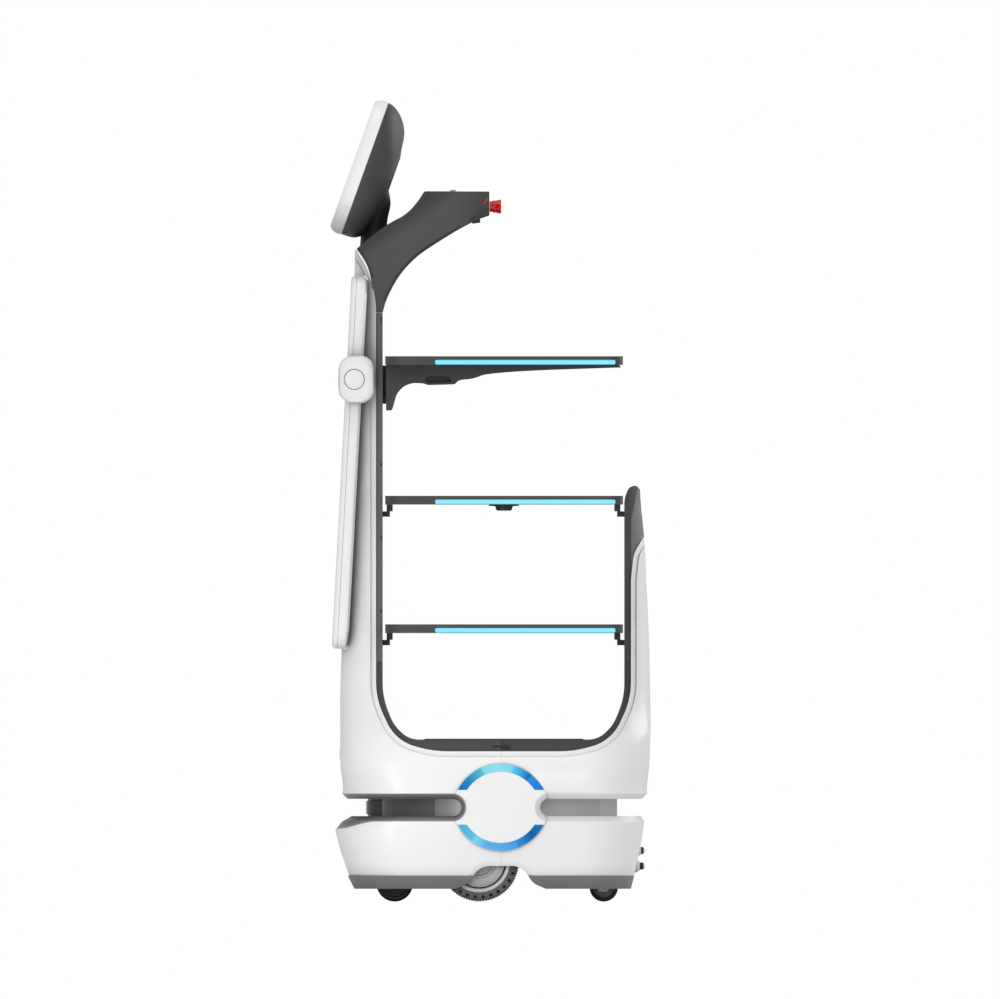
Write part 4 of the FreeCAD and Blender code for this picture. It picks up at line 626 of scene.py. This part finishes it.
slope = Matrix.Rotation(math.atan2(above.x - spot.x, 6), 3, "Y")
bmesh.ops.rotate(form, verts=form.verts, cent=(0, 0, 0), matrix=slope)
bmesh.ops.translate(form, verts=form.verts, vec=((spot.x - 1.2) * MM, 0, STATUS_HEIGHT * MM))
status = piece("status_light_cover", form, [made], "base")
rounded(status, 0.6)

# Emergency stop: a mushroom button of glossy red plastic.
made, shader, _ = finish("gloss_red_button")
feed(made, shader, {"Base Color": linear("#f40c0c"), "Roughness": 0.25, "Coat Weight": 0.3,
                    "Coat Roughness": 0.05})
nodes["estop_button"].data.materials[0] = made


# Metal parts under the skirt: zinc-plated forks and powder-coated steel.
def metal(name, code, rough, metallic=1.0):
    """Metal with a slightly uneven sheen."""
    made, shader, where = finish(name)
    noise = add(made, "TexNoise", {"Vector": where, "Scale": 60.0, "Detail": 3.0})
    sheen = add(made, "MapRange", {0: noise.outputs[0], 3: rough - 0.06, 4: rough + 0.08})
    feed(made, shader, {"Base Color": linear(code), "Metallic": metallic, "Roughness": sheen.outputs[0]})
    return made


zinc = metal("zinc_plated_steel", "#b4b4b4", 0.35)
coated = metal("black_powder_coat", "#2a2a2a", 0.5, 0.0)
for name in nodes:
    if name.startswith("castor_fork"):
        nodes[name].data.materials[0] = zinc
for name in ("chassis_plate", "castor_mounts", "drive_brackets"):
    nodes[name].data.materials[0] = coated
nodes["charge_tips"].data.materials[0] = metal("nickel_plated_contact", "#d8d8d8", 0.2)

# Drive wheels: 144 mm hub-motor wheels. The airless tyre is solid moulded rubber with blind holes in
# its sides that soften it and two rows of short lugs; the hub is a turned and painted aluminium can.
def turned(form, line, centre, steps, closed=True):
    """Section line (mm from the middle along Y, radius in mm) turned about an axle along Y."""
    spots = [form.verts.new((centre.x, centre.y + off * MM, centre.z + radius * MM)) for off, radius in line]
    joined = zip(spots, spots[1:] + spots[:1]) if closed else zip(spots, spots[1:])
    edges = [form.edges.new(pair) for pair in joined]
    bmesh.ops.spin(form, geom=spots + edges, cent=centre, axis=(0, 1, 0), angle=math.tau, steps=steps,
                   use_merge=True)


def banded(form, centre, bands):
    """Materials by distance from the axle: a band is a material's number, a lower and an upper radius."""
    for face in form.faces:
        middle = face.calc_center_median() - centre
        for number, low, high in bands:
            if low < math.hypot(middle.x, middle.z) / MM < high:
                face.material_index = number


tyre_rubber = grained("moulded_tyre_rubber", "#707070", "#666666", 0.7, 0.0016, 0.35, 0.3)
rim_metal = metal("turned_aluminium_rim", "#e6e6e6", 0.34, 0.4)
hub_paint = metal("painted_aluminium_hub", "#b4b4b4", 0.42, 0.25)
LUGS = 87
HOLES = 28
HOLE_RADIUS = 3.3
HOLE_RING = 63.8
TYRE_SIDE = 20.8
for hand, side in (("left", 1), ("right", -1)):
    low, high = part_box("drive_tyre_" + hand)
    centre = (low + high) / 2
    tyre_form = bmesh.new()
    turned(tyre_form, ((-15, 55.3), (-19.6, 55.3), (-TYRE_SIDE, 57), (-TYRE_SIDE, 67.2), (-12.5, 69.9),
                       (0, 70.2), (12.5, 69.9), (TYRE_SIDE, 67.2), (TYRE_SIDE, 57), (19.6, 55.3),
                       (15, 55.3)), centre, 96)
    body_name = "drive_wheel_" + hand
    tyre = piece("drive_tyre_tread_" + hand, tyre_form, [tyre_rubber, slot_shade_black], body_name)
    holes = bmesh.new()
    across = Matrix.Rotation(math.pi / 2, 3, "X")
    for step in range(HOLES):
        for face_side in (-1, 1):
            hole = bmesh.ops.create_cone(holes, cap_ends=True, segments=12, radius1=HOLE_RADIUS * MM,
                                         radius2=HOLE_RADIUS * MM, depth=12 * MM)["verts"]
            bmesh.ops.rotate(holes, verts=hole, cent=(0, 0, 0), matrix=across)
            bmesh.ops.translate(holes, verts=hole,
                                vec=centre + Vector((0, face_side * TYRE_SIDE * MM, HOLE_RING * MM)))
            bmesh.ops.rotate(holes, verts=hole, cent=centre,
                             matrix=Matrix.Rotation(math.tau * (step + 0.5) / HOLES, 3, "Y"))
    carved(tyre, holes)
    # The walls of the side holes take the near-black material: painted shade inside the holes.
    whole = bmesh.new()
    whole.from_mesh(tyre.data)
    for face in whole.faces:
        middle = face.calc_center_median() - centre
        near = 58 < math.hypot(middle.x, middle.z) / MM < 67
        inside = near and 10 < abs(middle.y) / MM < TYRE_SIDE - 0.1
        face.material_index = 1 if inside else 0
    for step in range(LUGS):
        for row in (-1, 1):
            outline = ((1.2, 69), (1.2, 71.8), (12.5, 71.5), (20.9, 68.6), (20.9, 66.4), (12.5, 69))
            corners = [whole.verts.new(centre + Vector((-1.4 * MM, row * off * MM, radius * MM)))
                       for off, radius in outline]
            lug = bmesh.ops.extrude_face_region(whole, geom=[whole.faces.new(corners)])
            front = [part for part in lug["geom"] if isinstance(part, bmesh.types.BMVert)]
            bmesh.ops.translate(whole, verts=front, vec=(2.8 * MM, 0, 0))
            bmesh.ops.rotate(whole, verts=corners + front, cent=centre,
                             matrix=Matrix.Rotation(math.tau * step / LUGS, 3, "Y"))
    bmesh.ops.recalc_face_normals(whole, faces=whole.faces)
    whole.to_mesh(tyre.data)
    whole.free()
    for face in tyre.data.polygons:
        face.use_smooth = True
    tyre.data.set_sharp_from_angle(angle=math.radians(35))
    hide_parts("drive_tyre_" + hand)

    low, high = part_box("drive_hub_" + hand)
    outer = max(abs(low.y), abs(high.y)) / MM - abs(centre.y) / MM
    inner = abs(centre.y) / MM - min(abs(low.y), abs(high.y)) / MM
    line = [(outer - 4, 0), (outer - 4, 6), (outer - 2.5, 7), (outer - 2.5, 12), (outer - 3.5, 13.5),
            (outer - 8, 15), (outer - 8.5, 24), (outer - 6, 25.5), (outer - 6, 29), (outer - 8, 30.5),
            (outer - 7.5, 38), (outer - 5, 45.0), (outer - 4.6, 46.0), (outer - 8, 46.2), (outer - 8, 48.4),
            (outer - 3, 48.6), (outer - 1.6, 50), (outer - 0.6, 53.2), (outer - 1.2, 54.6),
            (outer - 4, 55.1), (-inner + 2, 55.1), (-inner + 1, 54.6), (-inner, 52), (-inner + 1, 40),
            (-inner + 1, 20), (-inner, 19), (-inner, 9), (-inner + 1, 8.4), (-inner + 14, 8.4), (-inner + 14, 0)]
    hub_form = bmesh.new()
    turned(hub_form, [(side * off, radius) for off, radius in line], centre, 72, closed=False)
    # The groove inside the rim takes the near-black material: painted shade in the groove.
    banded(hub_form, centre, ((1, 0, 48.45), (2, 46.05, 48.55)))
    hub = piece("drive_hub_can_" + hand, hub_form, [rim_metal, hub_paint, slot_shade_black], body_name,
                30)
    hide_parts("drive_hub_" + hand)

# Castor wheels: moulded polyurethane tyres on nylon hubs, dark in front and light grey behind.
castor_tyre = grained("castor_polyurethane", "#3c3c3c", "#343434", 0.5, 0.0015, 0.2)
dark_hub = grained("castor_hub_dark", "#4a4a4a", "#424242", 0.42)
pale_hub = grained("castor_hub_grey", "#b2b2b2", "#a6a6a6", 0.4)
for end, hub_tone in (("front", dark_hub), ("rear", pale_hub)):
    for hand in ("left", "right"):
        label = end + "_" + hand
        low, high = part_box("castor_wheel_" + label)
        centre = (low + high) / 2
        size = (high.z - low.z) / 2 / MM
        boss = (high.y - low.y) / 2 / MM
        half_line = [(boss, 5.2), (boss, 7.6), (boss - 0.5, 8), (9, 8.4), (7.2, 9.4), (7.2, size * 0.36),
                     (8.4, size * 0.4), (8.4, size * 0.5), (7.4, size * 0.54), (7.4, size * 0.6),
                     (8.6, size * 0.63), (8.6, size * 0.69), (7.6, size * 0.7), (8.8, size * 0.74),
                     (9, size * 0.9), (7, size * 0.97), (3.5, size)]
        wheel_form = bmesh.new()
        turned(wheel_form, half_line + [(-off, radius) for off, radius in reversed(half_line)], centre, 56)
        banded(wheel_form, centre, ((1, 0, size * 0.695),))
        wheel = piece("castor_tyre_" + label, wheel_form, [castor_tyre, hub_tone], "castor_roller_" + label,
                      30)
        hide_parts("castor_wheel_" + label)
